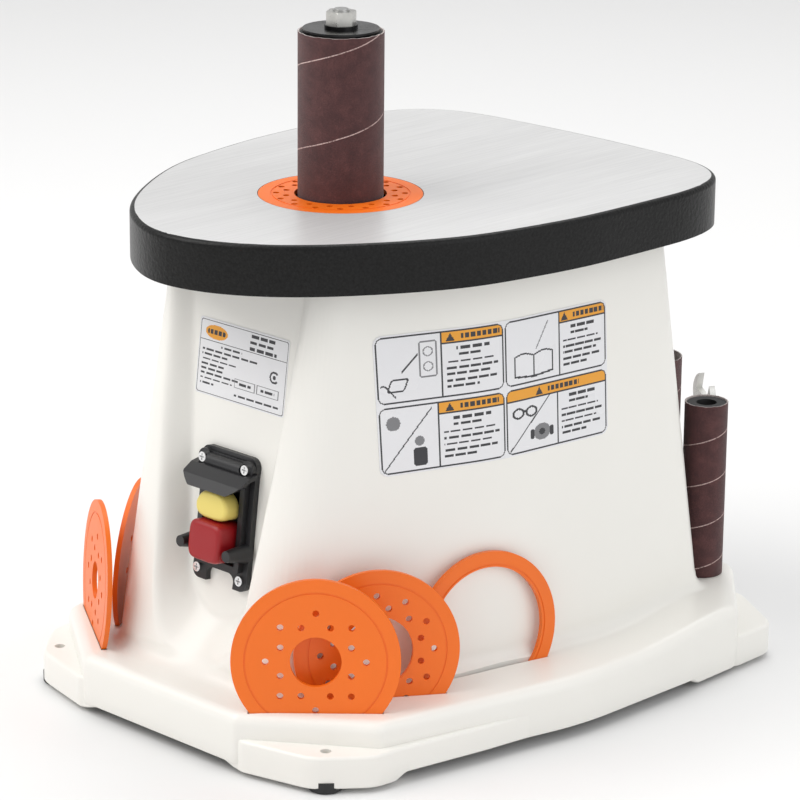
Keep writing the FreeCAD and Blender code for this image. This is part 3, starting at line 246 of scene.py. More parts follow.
def blend_colors(tree, factor, a, b):
    node = tree.nodes.new("ShaderNodeMix")
    node.data_type = "RGBA"
    tree.links.new(factor, node.inputs["Factor"])
    for socket, value in ((node.inputs["A"], a), (node.inputs["B"], b)):
        if isinstance(value, tuple):
            socket.default_value = (*value, 1)
        else:
            tree.links.new(value, socket)
    return node.outputs["Result"]


def add_bump(tree, shader, height, distance, strength=1.0):
    bump = tree.nodes.new("ShaderNodeBump")
    bump.inputs["Distance"].default_value = distance
    bump.inputs["Strength"].default_value = strength
    tree.links.new(height, bump.inputs["Height"])
    tree.links.new(bump.outputs["Normal"], shader.inputs["Normal"])


def grey(value):
    return (value, value, value)


def vary(tree, shader, vector, scale, color_low, color_high, rough_low, rough_high):
    """Slow change of colour and roughness over a surface."""
    slow = noise(tree, vector, scale)
    tree.links.new(ramp(tree, slow, [(0.3, color_low), (0.7, color_high)]), shader.inputs["Base Color"])
    gloss = ramp(tree, slow, [(0.3, grey(rough_low)), (0.7, grey(rough_high))])
    tree.links.new(gloss, shader.inputs["Roughness"])


# %% [markdown]
# The stand is one big moulding in warm white plastic. Its skin is satin, with the faint ripple
# of a large mould that only shows in highlights.

# %% Plastics and rubber
def moulded(name, color, roughness, ripple, grain=1400.0, depth=0.00006, coat=0.0):
    """Moulded plastic: two close colours, uneven gloss and a fine leathered skin."""
    material, tree, shader = new_material(name, color, roughness, coat=coat)
    place = coordinates(tree)
    darker = tuple(c * (1 - ripple) for c in color)
    vary(tree, shader, place, 9.0, darker, color, roughness * 0.88, roughness * 1.12)
    fine = noise(tree, place, grain, 3.0)
    wide = noise(tree, place, 60.0, 2.0)
    add_bump(tree, shader, maths(tree, "ADD", fine, maths(tree, "MULTIPLY", wide, 1.5)), depth, 0.5)
    return material


housing_white = moulded("housing_white", (0.87, 0.855, 0.81), 0.36, 0.02,
                        grain=900.0, depth=0.00004, coat=0.15)
insert_orange = moulded("insert_orange", (0.90, 0.165, 0.004), 0.42, 0.07)
switch_black = moulded("switch_black", (0.018, 0.018, 0.020), 0.38, 0.2, grain=2500.0)
paddle_red = moulded("paddle_red", (0.33, 0.006, 0.010), 0.40, 0.08)
key_yellow = moulded("key_yellow", (0.80, 0.66, 0.17), 0.38, 0.05)
drum_rubber = moulded("drum_rubber", (0.022, 0.022, 0.023), 0.62, 0.35, grain=2200.0, depth=0.0001)
port_black = moulded("port_black", (0.02, 0.02, 0.021), 0.45, 0.2)
print("plastics:", len(bpy.data.materials))

# %% [markdown]
# The iron table has two finishes on one casting: a surface-ground top with long fine scratches
# and soft cloudy patches, and a rim in black wrinkle enamel. The split follows the height of
# the surface and the way it faces, so one material serves the whole piece.

# %% Table iron
def make_table_iron():
    """Ground iron where the surface faces up at the top, textured black enamel elsewhere."""
    material, tree, shader = new_material("table_iron", grey(0.4), 0.35, 1.0)
    place = coordinates(tree)
    streaks = noise(tree, coordinates(tree, (900, 14, 1)), 1.0, 5.0, 0.65)
    fine = noise(tree, coordinates(tree, (3000, 40, 1)), 1.0, 3.0, 0.6)
    clouds = noise(tree, coordinates(tree, (14, 3, 1)), 1.0, 3.0)
    mixed = maths(tree, "ADD", maths(tree, "MULTIPLY", streaks, 0.45), maths(tree, "MULTIPLY", clouds, 0.55))
    iron = ramp(tree, mixed, [(0.30, grey(0.58)), (0.52, grey(0.70)), (0.72, grey(0.80))])
    enamel_fine = noise(tree, place, 700.0, 3.0, 0.6)
    enamel = ramp(tree, enamel_fine, [(0.3, grey(0.004)), (0.75, grey(0.014))])
    geometry = tree.nodes.new("ShaderNodeNewGeometry")
    split = tree.nodes.new("ShaderNodeSeparateXYZ")
    tree.links.new(geometry.outputs["Normal"], split.inputs[0])
    where = tree.nodes.new("ShaderNodeSeparateXYZ")
    tree.links.new(place, where.inputs[0])
    faces_up = maths(tree, "GREATER_THAN", split.outputs["Z"], 0.985)
    high = maths(tree, "GREATER_THAN", where.outputs["Z"], TABLE_TOP * MM - 0.0004)
    ground = maths(tree, "MULTIPLY", faces_up, high)
    tree.links.new(blend_colors(tree, ground, enamel, iron), shader.inputs["Base Color"])
    tree.links.new(maths(tree, "MULTIPLY", ground, 0.45), shader.inputs["Metallic"])
    rough_iron = ramp(tree, mixed, [(0.3, grey(0.42)), (0.7, grey(0.30))])
    tree.links.new(blend_colors(tree, ground, grey(0.33), rough_iron), shader.inputs["Roughness"])
    shader.inputs["Specular IOR Level"].default_value = 0.2
    peel = noise(tree, place, 420.0, 3.0, 0.5)
    height = blend_colors(tree, ground, peel, fine)
    bump = tree.nodes.new("ShaderNodeBump")
    depth = blend_colors(tree, ground, grey(1.0), grey(0.05))
    bump.inputs["Distance"].default_value = 0.00035
    tree.links.new(depth, bump.inputs["Strength"])
    tree.links.new(height, bump.inputs["Height"])
    tree.links.new(bump.outputs["Normal"], shader.inputs["Normal"])
    return material


TABLE_TOP = 311.0
table_iron = make_table_iron()

# %% [markdown]
# Abrasive cloth is brown grit on a backing. A strip is wound into a tube, which leaves one pale
# seam that climbs round it. The seam is where turns plus height over pitch is a whole number,
# read from the sleeve's own UV map: U counts turns and V is the height in metres.

# %% Abrasive cloth
def make_abrasive(name, pitch, phase, inside=False):
    """Grit with dark and light grains, and a thin pale seam that winds up the sleeve."""
    color = (0.105, 0.036, 0.038)
    material, tree, shader = new_material(name, color, 0.78, sheen=0.15)
    place = coordinates(tree)
    grains = noise(tree, place, 2600.0, 2.0, 0.7)
    patches = noise(tree, place, 120.0, 4.0)
    mixed = maths(tree, "ADD", maths(tree, "MULTIPLY", grains, 0.75), maths(tree, "MULTIPLY", patches, 0.25))
    base = ramp(tree, mixed, [(0.32, (0.022, 0.006, 0.007)), (0.5, (0.064, 0.018, 0.019)),
                              (0.68, (0.150, 0.054, 0.050))])
    uv = tree.nodes.new("ShaderNodeUVMap")
    uv.uv_map = "wrap"
    split = tree.nodes.new("ShaderNodeSeparateXYZ")
    tree.links.new(uv.outputs[0], split.inputs[0])
    climb = maths(tree, "DIVIDE", split.outputs["Y"], pitch)
    wobble = maths(tree, "MULTIPLY", noise(tree, place, 90.0, 3.0), 0.012)
    phase_sum = maths(tree, "ADD", maths(tree, "SUBTRACT", climb, split.outputs["X"]), phase)
    turn = maths(tree, "FRACT", maths(tree, "ADD", phase_sum, wobble))
    middle = maths(tree, "ABSOLUTE", maths(tree, "SUBTRACT", turn, 0.5))
    half_width = 0.00034 / pitch
    seam = maths(tree, "LESS_THAN", middle, half_width)
    fibres = maths(tree, "GREATER_THAN", noise(tree, place, 1500.0, 3.0), 0.44)
    pale = maths(tree, "MULTIPLY", seam, fibres)
    tree.links.new(blend_colors(tree, pale, base, (0.62, 0.45, 0.42)), shader.inputs["Base Color"])
    groove = maths(tree, "MULTIPLY", seam, -0.6)
    add_bump(tree, shader, maths(tree, "ADD", grains, groove), 0.0003, 0.9)
    return material


def make_backing():
    """Cut cloth at the ends and inside of a sleeve: pale fibres."""
    material, tree, shader = new_material("cloth_backing", (0.5, 0.46, 0.43), 0.9, sheen=0.3)
    fibres = noise(tree, coordinates(tree), 1800.0, 4.0)
    tree.links.new(ramp(tree, fibres, [(0.3, (0.30, 0.25, 0.24)), (0.7, (0.66, 0.60, 0.57))]),
                   shader.inputs["Base Color"])
    add_bump(tree, shader, fibres, 0.0002, 0.6)
    return material


backing = make_backing()

# %% [markdown]
# Metals are told apart by their scratches. Zinc-plated steel is bright and slightly cloudy,
# turned shafts have fine rings, black oxide is dark, and castings are dull.

# %% Metals
def make_metal(name, low, high, rough_low, rough_high, scale, stretch=(1, 1, 1), depth=0.00003):
    """Metal with cloudy colour, uneven polish and a fine scratch bump along one direction."""
    material, tree, shader = new_material(name, high, rough_low, 1.0)
    vector = coordinates(tree, stretch)
    vary(tree, shader, vector, scale, low, high, rough_low, rough_high)
    add_bump(tree, shader, noise(tree, vector, scale * 18, 3.0), depth, 0.5)
    return material


zinc = make_metal("zinc_plate", (0.46, 0.46, 0.44), (0.68, 0.67, 0.64), 0.22, 0.36, 90.0)
chrome = make_metal("screw_chrome", (0.62, 0.62, 0.62), (0.8, 0.8, 0.8), 0.12, 0.2, 120.0)
turned = make_metal("turned_steel", (0.40, 0.40, 0.40), (0.60, 0.60, 0.59), 0.22, 0.34, 30.0, (1, 1, 40))
black_oxide = make_metal("black_oxide", (0.012, 0.012, 0.013), (0.05, 0.05, 0.05), 0.16, 0.3, 60.0)
casting = make_metal("casting", (0.26, 0.26, 0.27), (0.42, 0.42, 0.43), 0.5, 0.65, 60.0, depth=0.0002)
bronze = make_metal("bronze", (0.42, 0.25, 0.09), (0.60, 0.40, 0.16), 0.28, 0.4, 60.0)
copper = make_metal("winding_copper", (0.28, 0.08, 0.03), (0.5, 0.18, 0.07), 0.35, 0.5, 200.0)
print("finishes so far:", len(bpy.data.materials))


# %% [markdown]
# Outlines of moulded parts are polygons with rounded corners. An arc that is tangent to both
# sides of a corner has its centre on the bisector, at radius over the sine of the half angle.
# Every outline here goes round the middle once, so it can be read as a distance for each
# direction, and then a whole skin is a grid: one column for each direction, one row for each
# step of the profile.

# %% Outlines as distances round the middle
def rounded_outline(corners, steps=12, samples=6000):
    """Even samples of a closed outline through corners (x, y, radius) with tangent arcs."""
    data = np.array(corners, float)
    here, radius = data[:, :2], data[:, 2]
    back = np.roll(here, 1, axis=0) - here
    ahead = np.roll(here, -1, axis=0) - here
    back /= np.linalg.norm(back, axis=1)[:, None]
    ahead /= np.linalg.norm(ahead, axis=1)[:, None]
    half = np.arccos(np.clip((back * ahead).sum(axis=1), -1, 1)) / 2
    middle = (back + ahead) / np.linalg.norm(back + ahead, axis=1)[:, None]
    centre = here + middle * (radius / np.sin(half))[:, None]
    start = here + back * (radius / np.tan(half))[:, None] - centre
    end = here + ahead * (radius / np.tan(half))[:, None] - centre
    share = np.linspace(0, 1, steps)[None, :, None]
    spoke = start[:, None] * (1 - share) + end[:, None] * share
    spoke *= radius[:, None, None] / np.linalg.norm(spoke, axis=2)[:, :, None]
    path = (centre[:, None] + spoke).reshape(-1, 2)
    path = np.vstack([path, path[:1]])
    along = np.concatenate([[0], np.cumsum(np.linalg.norm(np.diff(path, axis=0), axis=1))])
    even = np.linspace(0, along[-1], samples, endpoint=False)
    return np.column_stack([np.interp(even, along, path[:, i]) for i in (0, 1)])


def distance_round(outline, angles):
    """Distance from the middle to an outline. Angle 0 is the front and it grows to the right."""
    around = np.arctan2(outline[:, 0], -outline[:, 1])
    order = np.argsort(around)
    reach = np.hypot(outline[:, 0], outline[:, 1])
    return np.interp(angles, around[order], reach[order], period=2 * math.pi)


def both_halves(half):
    return half + [(-x, y, r) for x, y, r in reversed(half)]


BASE = rounded_outline(both_halves([(68, -200, 14), (118.5, -188, 24), (142, -160.5, 20), (145, -138, 8),
                                    (170, -10, 220), (171, 86, 150), (168, 173, 16), (122, 200, 14)]))
APRON = rounded_outline(both_halves([(66, -200, 6), (137, -150, 6), (141, -134, 20), (170, -10, 220),
                                     (171, 86, 110), (169.5, 136, 8), (116, 196.5, 16)]))
WALL_LOW = np.array([(76, -174.5, 40), (121, -25, 180), (131.5, 60, 180), (131, 151, 14)])
WALL_HIGH = np.array([(65, -129.5, 22), (108, -32, 180), (119.5, 60, 180), (117.5, 125.5, 22)])
APRON_Z, BODY_Z = 38.0, 281.0


def wall_outline(z):
    """Body outline at a height: its corners slide evenly from the apron up to the table."""
    t = (z - APRON_Z) / (BODY_Z - APRON_Z)
    return rounded_outline(both_halves([tuple(c) for c in WALL_LOW + (WALL_HIGH - WALL_LOW) * t]))


turns = np.concatenate([np.linspace(-0.62, 0.62, 240, endpoint=False),
                        np.linspace(0.62, 2 * math.pi - 0.62, 460, endpoint=False)])
print("base outline spans", BASE.min(axis=0).round(1), BASE.max(axis=0).round(1), "columns:", len(turns))


# %% [markdown]
# The recess in front is a family of U shapes that widen towards the viewer: straight leaning
# sides on a half circle. A point belongs to the U whose signed distance is zero there, found by
# the secant rule between the smallest U on the panel and the widest one in front. A smooth
# maximum of wall depth and recess depth then rolls the lip over softly.

# %% Front recess
def u_distance(x, z, t):
    """Signed distance, nearly, to the U number t: sides lean, and the foot is a half circle."""
    spring, foot, top = 96 - 24 * t, 30 + 13 * t, 51 + 22 * t
    side = foot + (top - foot) * (z - spring) / (BODY_Z + 30 - spring)
    below = np.hypot(x, z - spring) - foot
    return np.where(z > spring, np.abs(x) - side, below)


def recess_depth(x, z):
    """Y of the recess: the leaning panel inside the small U, then a flare out to the widest U."""
    panel = -122.8 - (270 - z) * math.tan(math.radians(7.0))
    front = -127.0 - (BODY_Z - z) * 0.185 - 15.0
    near, far = u_distance(x, z, 0.0), u_distance(x, z, 1.0)
    t = near / np.maximum(near - far, 0.5)
    t = 0.5 * (t + np.sqrt(t * t + 0.004))
    depth = panel + (front - panel) * np.clip(t, 0, 4)
    return np.where(z > 41, depth, -400.0)


def smooth_max(a, b, k):
    """The larger of two heights, with a round of width k where they cross."""
    return np.maximum(a, b) + np.maximum(k - np.abs(a - b), 0) ** 2 / (4 * k)


def ease(x, low, high):
    """0 below low, 1 above high, level at both ends."""
    t = np.clip((x - low) / (high - low), 0, 1)
    return t * t * (3 - 2 * t)


# %% [markdown]
# The skin of the stand is one closed grid. Its profile starts under the skirt, climbs the
# skirt, rolls over the rounded edge, crosses the apron, turns up through a concave round into
# the wall, and comes back down inside at the wall's thickness.

# %% Skin of the stand
def apron_height(y):
    """The apron rises gently to the raised platform at the rear."""
    return APRON_Z + 6.4 * ease(y, 40.0, 128.0)


def ring_at(distance, z, recessed=False):
    """Row of points at a distance and height for every direction, in millimetres."""
    x, y = distance * np.sin(turns), -distance * np.cos(turns)
    z = z + np.zeros_like(x)
    if recessed:
        y = np.where(y < 0, smooth_max(y, np.where(np.abs(x) < 90, recess_depth(x, z), -400), 5.0), y)
    return np.stack([x, y, z], axis=1)


def inward(row, by):
    """The same row moved toward the middle by a distance."""
    sideways = np.column_stack([row[:, :2], 0 * row[:, 2]])
    return row - sideways * (by / np.hypot(row[:, 0], row[:, 1]))[:, None]


def stand_rows():
    """Rows of the profile, outside from the skirt to the table, then back down inside."""
    edge = distance_round(APRON, turns)
    top = apron_height(-edge * np.cos(turns))
    rows = [ring_at(edge - 1.0, 7.0), ring_at(edge - 0.3, 7.3), ring_at(edge, 8.2)]
    rows += [ring_at(edge, 8.2 + (top - 7.0 - 8.2) * share) for share in (0.35, 0.7, 1.0)]
    for bend in np.linspace(0, math.pi / 2, 8)[1:]:
        rows.append(ring_at(edge - 7 + 7 * math.cos(bend), top - 7 + 7 * math.sin(bend)))
    foot = distance_round(wall_outline(50.0), turns) + 9.0
    for share in np.linspace(0, 1, 9)[1:]:
        place = (edge - 7) + (foot - edge + 7) * share
        rows.append(ring_at(place, apron_height(-place * np.cos(turns)), True))
    level = apron_height(-foot * np.cos(turns))
    for bend in np.linspace(0, math.pi / 2, 7)[1:]:
        rows.append(ring_at(foot - 9 * math.sin(bend), level + 9 * (1 - math.cos(bend)), True))
    start = level + 9.0
    heights = np.concatenate([np.linspace(0, 0.23, 32)[1:], np.linspace(0.23, 1, 50)[1:]])
    low, high = (distance_round(wall_outline(z), turns) for z in (APRON_Z, BODY_Z))
    rise = BODY_Z - APRON_Z
    for share in heights:
        z = start + (BODY_Z - 1.2 - start) * share
        middle = APRON_Z + rise * (z.mean() - APRON_Z) / 243.0
        wall = distance_round(wall_outline(middle), turns) + (low - high) * (z.mean() - z) / 243.0
        rows.append(ring_at(wall, z, True))
    rim = rows[-1]
    rows.append(np.column_stack([inward(rim, 1.0)[:, :2], np.full(len(turns), BODY_Z)]))
    deck = distance_round(rounded_outline([(64, -102, 8), (64, 99, 8), (-64, 99, 8), (-64, -102, 8)]), turns)
    rows += [ring_at(deck, BODY_Z), ring_at(deck, BODY_Z - 3.5)]
    inside = rows[12 + 9:-3][::-6]
    rows.append(np.column_stack([inward(inside[0], 3.6)[:, :2], np.full(len(turns), BODY_Z - 3.5)]))
    rows += [inward(row, 3.6) for row in inside[1:-1]]
    rows += [ring_at(foot - 4.0, level - 3.5), ring_at(edge - 7.0, top - 4.0),
             ring_at(edge - 4.5, top - 10.0), ring_at(edge - 4.5, 7.0)]
    return np.stack(rows) * MM


def lobe_rows():
    """Rim with the corner lobes. It stands lower at the lobes, and the step between is sloped."""
    edge, apron = distance_round(BASE, turns), distance_round(APRON, turns)
    share = ease(edge - apron, 0.3, 3.0)
    edge = apron - 1.0 + (edge - apron + 1.0) * share
    inner = np.minimum(apron - 4.0, edge - 2.0)
    x, y = np.abs(edge * np.sin(turns)), -edge * np.cos(turns)
    front = np.minimum((x - 55) / 13, (-137 - y) / 8)
    rear = np.minimum((x - 82) / 8, (y - 91) / 8)
    under = 7.0 - 4.0 * np.clip(np.maximum(front, rear), 0, 1)
    rows = [ring_at(inner, under), ring_at(edge - 0.8, under), ring_at(edge, under + 0.8),
            ring_at(edge, 14.0)]
    for bend in np.linspace(0, math.pi / 2, 6):
        rows.append(ring_at(edge - 2.5 + 2.5 * math.cos(bend), 20.5 + 2.5 * math.sin(bend)))
    rows += [ring_at((edge + inner) / 2 - 1.2, 23.0), ring_at(inner, 23.0), ring_at(inner, 14.0)]
    return np.stack(rows) * MM


def upright(profile, x, y, columns=48):
    """Points of a round post: profile is a list of (radius, height)."""
    a = np.linspace(0, 2 * math.pi, columns, endpoint=False)
    profile = np.array(profile, float)
    points = np.empty((len(profile), columns, 3))
    points[:, :, 0] = x + profile[:, :1] * np.cos(a)
    points[:, :, 1] = y + profile[:, :1] * np.sin(a)
    points[:, :, 2] = profile[:, 1:]
    return points * MM


def box_piece(name, low, high, place=None):
    """Closed box between two corners, optionally carried by a 4 x 4 placement. Millimetres."""
    low, high = np.array(low, float), np.array(high, float)
    corner = np.array([(i, j, k) for i in (0, 1) for j in (0, 1) for k in (0, 1)], float)
    points = low + (high - low) * corner
    if place is not None:
        points = points @ place[:3, :3].T + place[:3, 3]
    faces = [(0, 1, 3, 2), (4, 6, 7, 5), (0, 4, 5, 1), (2, 3, 7, 6), (0, 2, 6, 4), (1, 5, 7, 3)]
    mesh = bpy.data.meshes.new(name)
    mesh.from_pydata((points * MM).tolist(), [], faces)
    piece = bpy.data.objects.new(name, mesh)
    bpy.context.scene.collection.objects.link(piece)
    return piece


def join(name, pieces):
    """Several objects as one mesh object, kept where they are."""
    with bpy.context.temp_override(active_object=pieces[0], selected_editable_objects=pieces,
                                   selected_objects=pieces, object=pieces[0]):
        bpy.ops.object.join()
    pieces[0].name = name
    pieces[0].data.name = name
    return pieces[0]


def carve(piece, cutter):
    """Cut one closed mesh by another and keep the result as plain mesh data."""
    modifier = piece.modifiers.new("carve", "BOOLEAN")
    modifier.operation, modifier.object = "DIFFERENCE", cutter
    modifier.solver = "MANIFOLD"
    graph = bpy.context.evaluated_depsgraph_get()
    graph.update()
    result = bpy.data.meshes.new_from_object(piece.evaluated_get(graph))
    piece.modifiers.clear()
    piece.data = result
    bpy.data.objects.remove(cutter)
    return piece


skin = grid_piece("stand_skin", stand_rows(), wrap_rows=True, wrap_columns=True)
rim = grid_piece("base_rim", lobe_rows(), wrap_rows=True, wrap_columns=True)
print("skin faces:", len(skin.data.polygons), "rim faces:", len(rim.data.polygons))


# %% Slots, pockets and posts
def station(x, y, yaw, sign):
    """Placement of a stored insert's slot: leaned back 4 degrees, turned, mirrored on the left."""
    lean, turn = math.radians(-4.0), math.radians(90.0 - yaw)
    tip = np.array([[1, 0, 0], [0, math.cos(lean), -math.sin(lean)], [0, math.sin(lean), math.cos(lean)]])
    swing = np.array([[math.cos(turn), -math.sin(turn), 0], [math.sin(turn), math.cos(turn), 0], [0, 0, 1]])
    place = np.eye(4)
    place[:3, :3] = np.diag([sign, 1, 1]) @ swing @ tip
    place[:3, 3] = (sign * x, y, APRON_Z)
    return place


INSERT_R = 49.5
STATIONS = [(97.0, -163.5, 46.0, 30.8, 1), (106.0, -121.5, 34.0, 28.0, 1), (121.5, -43.5, 13.0, 24.0, 1),
            (97.0, -163.5, 57.0, 30.8, -1), (109.5, -121.5, 34.0, 33.0, -1), (121.5, -43.5, 13.0, 24.0, -1)]
PLACES = [(112.8, 167.2, 0, 44.4), (-112.8, 167.2, 0, 44.4),
          (86.8, 142.0, 21, 74.4), (-86.8, 142.0, 21, 74.4),
          (0.0, 142.5, 40, 61.0)]
cutters = []
for x, y, yaw, rise, sign in STATIONS:
    half = math.sqrt(INSERT_R ** 2 - rise ** 2) + 0.8
    low, high = (-half, -1.85, rise - INSERT_R - 0.3), (half, 1.85, 12)
    cutters.append(box_piece("slot", low, high, station(x, y, yaw, sign)))
POCKETS = [(86.8, 142.0, 23.0, 214.0), (-86.8, 142.0, 23.0, 214.0), (0.0, 142.5, 42.0, 200.0)]
for x, y, radius, roof in POCKETS:
    low = 61.0 if x == 0 else 74.4
    wall = upright([(radius, low), (radius, roof)], x, y, 96)
    cutters.append(grid_piece("pocket", wall, wrap_columns=True, caps=True))
skin = carve(skin, join("cutters", cutters))
BOLT_X, BOLT_Y, BOLT_R = 117.0, -175.0, 3.25
bolt = [(BOLT_R, -5), (BOLT_R, 40)]
holes = [grid_piece("hole", upright(bolt, sign * BOLT_X, BOLT_Y, 32), wrap_columns=True, caps=True)
         for sign in (-1, 1)]
rim = carve(rim, join("holes", holes))
posts = []
for x, y, ledge, top in PLACES:
    if ledge:
        profile = [(ledge, 36), (ledge, top - 1.5), (ledge - 0.4, top - 0.4), (ledge - 1.5, top), (0.5, top)]
        posts.append(grid_piece("ledge", upright(profile, x, y, 72), wrap_columns=True, caps=True))
    profile = [(5.6, top - 3), (5.6, top + 21.5), (4.9, top + 23.4), (3.2, top + 24), (0.4, top + 24)]
    posts.append(grid_piece("peg", upright(profile, x, y, 40), wrap_columns=True, caps=True))
stand = join("stand", [skin, rim] + posts)
print("stand faces:", len(stand.data.polygons))


stand.data.materials.clear()
stand.data.materials.append(housing_white)
stand.data.polygons.foreach_set("material_index", [0] * len(stand.data.polygons))
stand.data.polygons.foreach_set("use_smooth", [True] * len(stand.data.polygons))
stand.data.set_sharp_from_angle(angle=math.radians(38))
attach(stand, "root")
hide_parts("housing")

# %% [markdown]
# A sanding sleeve is a thin tube: grit outside, cloth at the cut ends and inside. Its grid
# carries turns and height, so that the seam can climb it. The rims are slightly uneven, as cut
# cloth is.

# %% Sleeves
def sleeve_piece(name, node, body, radius, bottom, x, y, pitch, phase):
    """Tube of cloth 0.9 mm thick: closed profile up the outside and down the inside."""
    length, wall = 114.3, 0.9
    columns = 128
    up = np.linspace(0.35, length - 0.35, 26)
    outside = [(radius, bottom + h) for h in up]
    inside = [(radius - wall, bottom + h) for h in up[::-1]]
    profile = [(radius - wall, bottom + 0.1), (radius - 0.25, bottom)] + outside
    profile += [(radius - 0.25, bottom + length), (radius - wall + 0.1, bottom + length)] + inside
    points = upright(profile, x, y, columns)
    angle = np.linspace(0, 2 * math.pi, columns, endpoint=False)
    fray = 0.00012 * (np.sin(9 * angle) + np.sin(23 * angle + 1.0) - 2.0)
    points[28:30, :, 2] += fray
    heights = np.array([h - bottom for _, h in profile]) * MM
    piece = grid_piece(name, points, wrap_rows=True, wrap_columns=True, heights=heights)
    piece.data.materials.append(make_abrasive(name + "_grit", pitch, phase))
    piece.data.materials.append(backing)
    row_of_face = np.repeat(np.arange(len(profile)), columns)
    cloth = (row_of_face < 1) | (row_of_face >= 28)
    piece.data.polygons.foreach_set("material_index", cloth.astype(np.int32))
    piece.data.set_sharp_from_angle(angle=math.radians(50))
    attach(piece, body)
    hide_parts(node)
    return piece


SLEEVES = [("main_sleeve", "sanding_sleeve_2in", "spindle_shaft", 25.75, 295.6, 0.0, -47.5, 0.051, 0.30),
           ("sleeve_1in", "sanding_sleeve_1in", "stored_drum_1in", 13.75, 44.7, 112.8, 167.2, 0.028, 0.1),
           ("sleeve_0_75in", "sanding_sleeve_0_75in", "stored_sleeve_0_75in", 9.5, 44.7, -112.8, 167.2, 0.022, 0.4),
           ("sleeve_1_5in", "sanding_sleeve_1_5in", "stored_sleeve_1_5in", 19.85, 74.7, 86.8, 142.0, 0.040, 0.2),
           ("sleeve_3in", "sanding_sleeve_3in", "stored_drum_3in", 38.5, 61.3, 0.0, 142.5, 0.070, 0.6)]
for row in SLEEVES:
    sleeve_piece(*row)
print("sleeves:", [row[0] for row in SLEEVES])

# %% [markdown]
# Printed film is a fine sheet of cells, half a millimetre each. Every cell takes the ink that
# its place asks for, worked out for the whole sheet at once: frames, bars that stand for lines
# of print, and simple signs.

# %% Printed labels
def printed_sheet(name, front, back, keep, ink, materials):
    """Closed thin sheet. Kept cells get a front and a back face, and edges of the kept area get a side."""
    rows, columns = front.shape[:2]
    index = np.arange(rows * columns).reshape(rows, columns)
    under = index + rows * columns
    corners = (index[:-1, :-1], index[:-1, 1:], index[1:, 1:], index[1:, :-1])
    below = (under[:-1, :-1], under[1:, :-1], under[1:, 1:], under[:-1, 1:])
    faces = [np.stack([c[keep] for c in corners], axis=1), np.stack([c[keep] for c in below], axis=1)]
    inks = [ink[keep], np.zeros(keep.sum(), int)]
    padded = np.pad(keep, 1)
    lower = (under[:-1, :-1], under[:-1, 1:], under[1:, 1:], under[1:, :-1])
    for shift, (i, j) in zip(((-1, 0), (0, 1), (1, 0), (0, -1)), ((0, 1), (1, 2), (2, 3), (3, 0))):
        beside = padded[1 + shift[0]:rows + shift[0], 1 + shift[1]:columns + shift[1]]
        edge = keep & ~beside
        faces.append(np.stack([corners[j][edge], corners[i][edge], lower[i][edge], lower[j][edge]], axis=1))
        inks.append(np.zeros(edge.sum(), int))
    vertices = np.concatenate([front.reshape(-1, 3), back.reshape(-1, 3)]) * MM
    faces = np.concatenate(faces)
    used, compact = np.unique(faces, return_inverse=True)
    mesh = bpy.data.meshes.new(name)
    mesh.from_pydata(vertices[used].tolist(), [], compact.reshape(-1, 4).tolist())
    for material in materials:
        mesh.materials.append(material)
    mesh.polygons.foreach_set("material_index", np.concatenate(inks).astype(np.int32))
    piece = bpy.data.objects.new(name, mesh)
    bpy.context.scene.collection.objects.link(piece)
    return piece


def rounded_box(u, v, low_u, low_v, high_u, high_v, radius=0.0):
    """Signed distance to a rounded rectangle, negative inside."""
    du = np.abs(u - (low_u + high_u) / 2) - (high_u - low_u) / 2 + radius
    dv = np.abs(v - (low_v + high_v) / 2) - (high_v - low_v) / 2 + radius
    return np.hypot(np.maximum(du, 0), np.maximum(dv, 0)) + np.minimum(np.maximum(du, dv), 0) - radius


def print_bars(u, v, left, right, top, pitch, thick, shares):
    """Rows of short bars of uneven length that stand for words."""
    lines = np.zeros(u.shape, bool)
    for i, share in enumerate(shares):
        middle = top - pitch * i
        words = (np.sin(u * 1.7 + i * 2.1) + np.sin(u * 0.83 + i)) > -1.25
        end = left + (right - left) * share
        lines |= (np.abs(v - middle) < thick / 2) & (u > left) & (u < end) & words
    return lines


def sign_triangle(u, v, cu, cv, size):
    """Upright triangle of a given height round a centre."""
    return (v > cv - size / 2) & (v < cv + size / 2 - 1.75 * np.abs(u - cu))


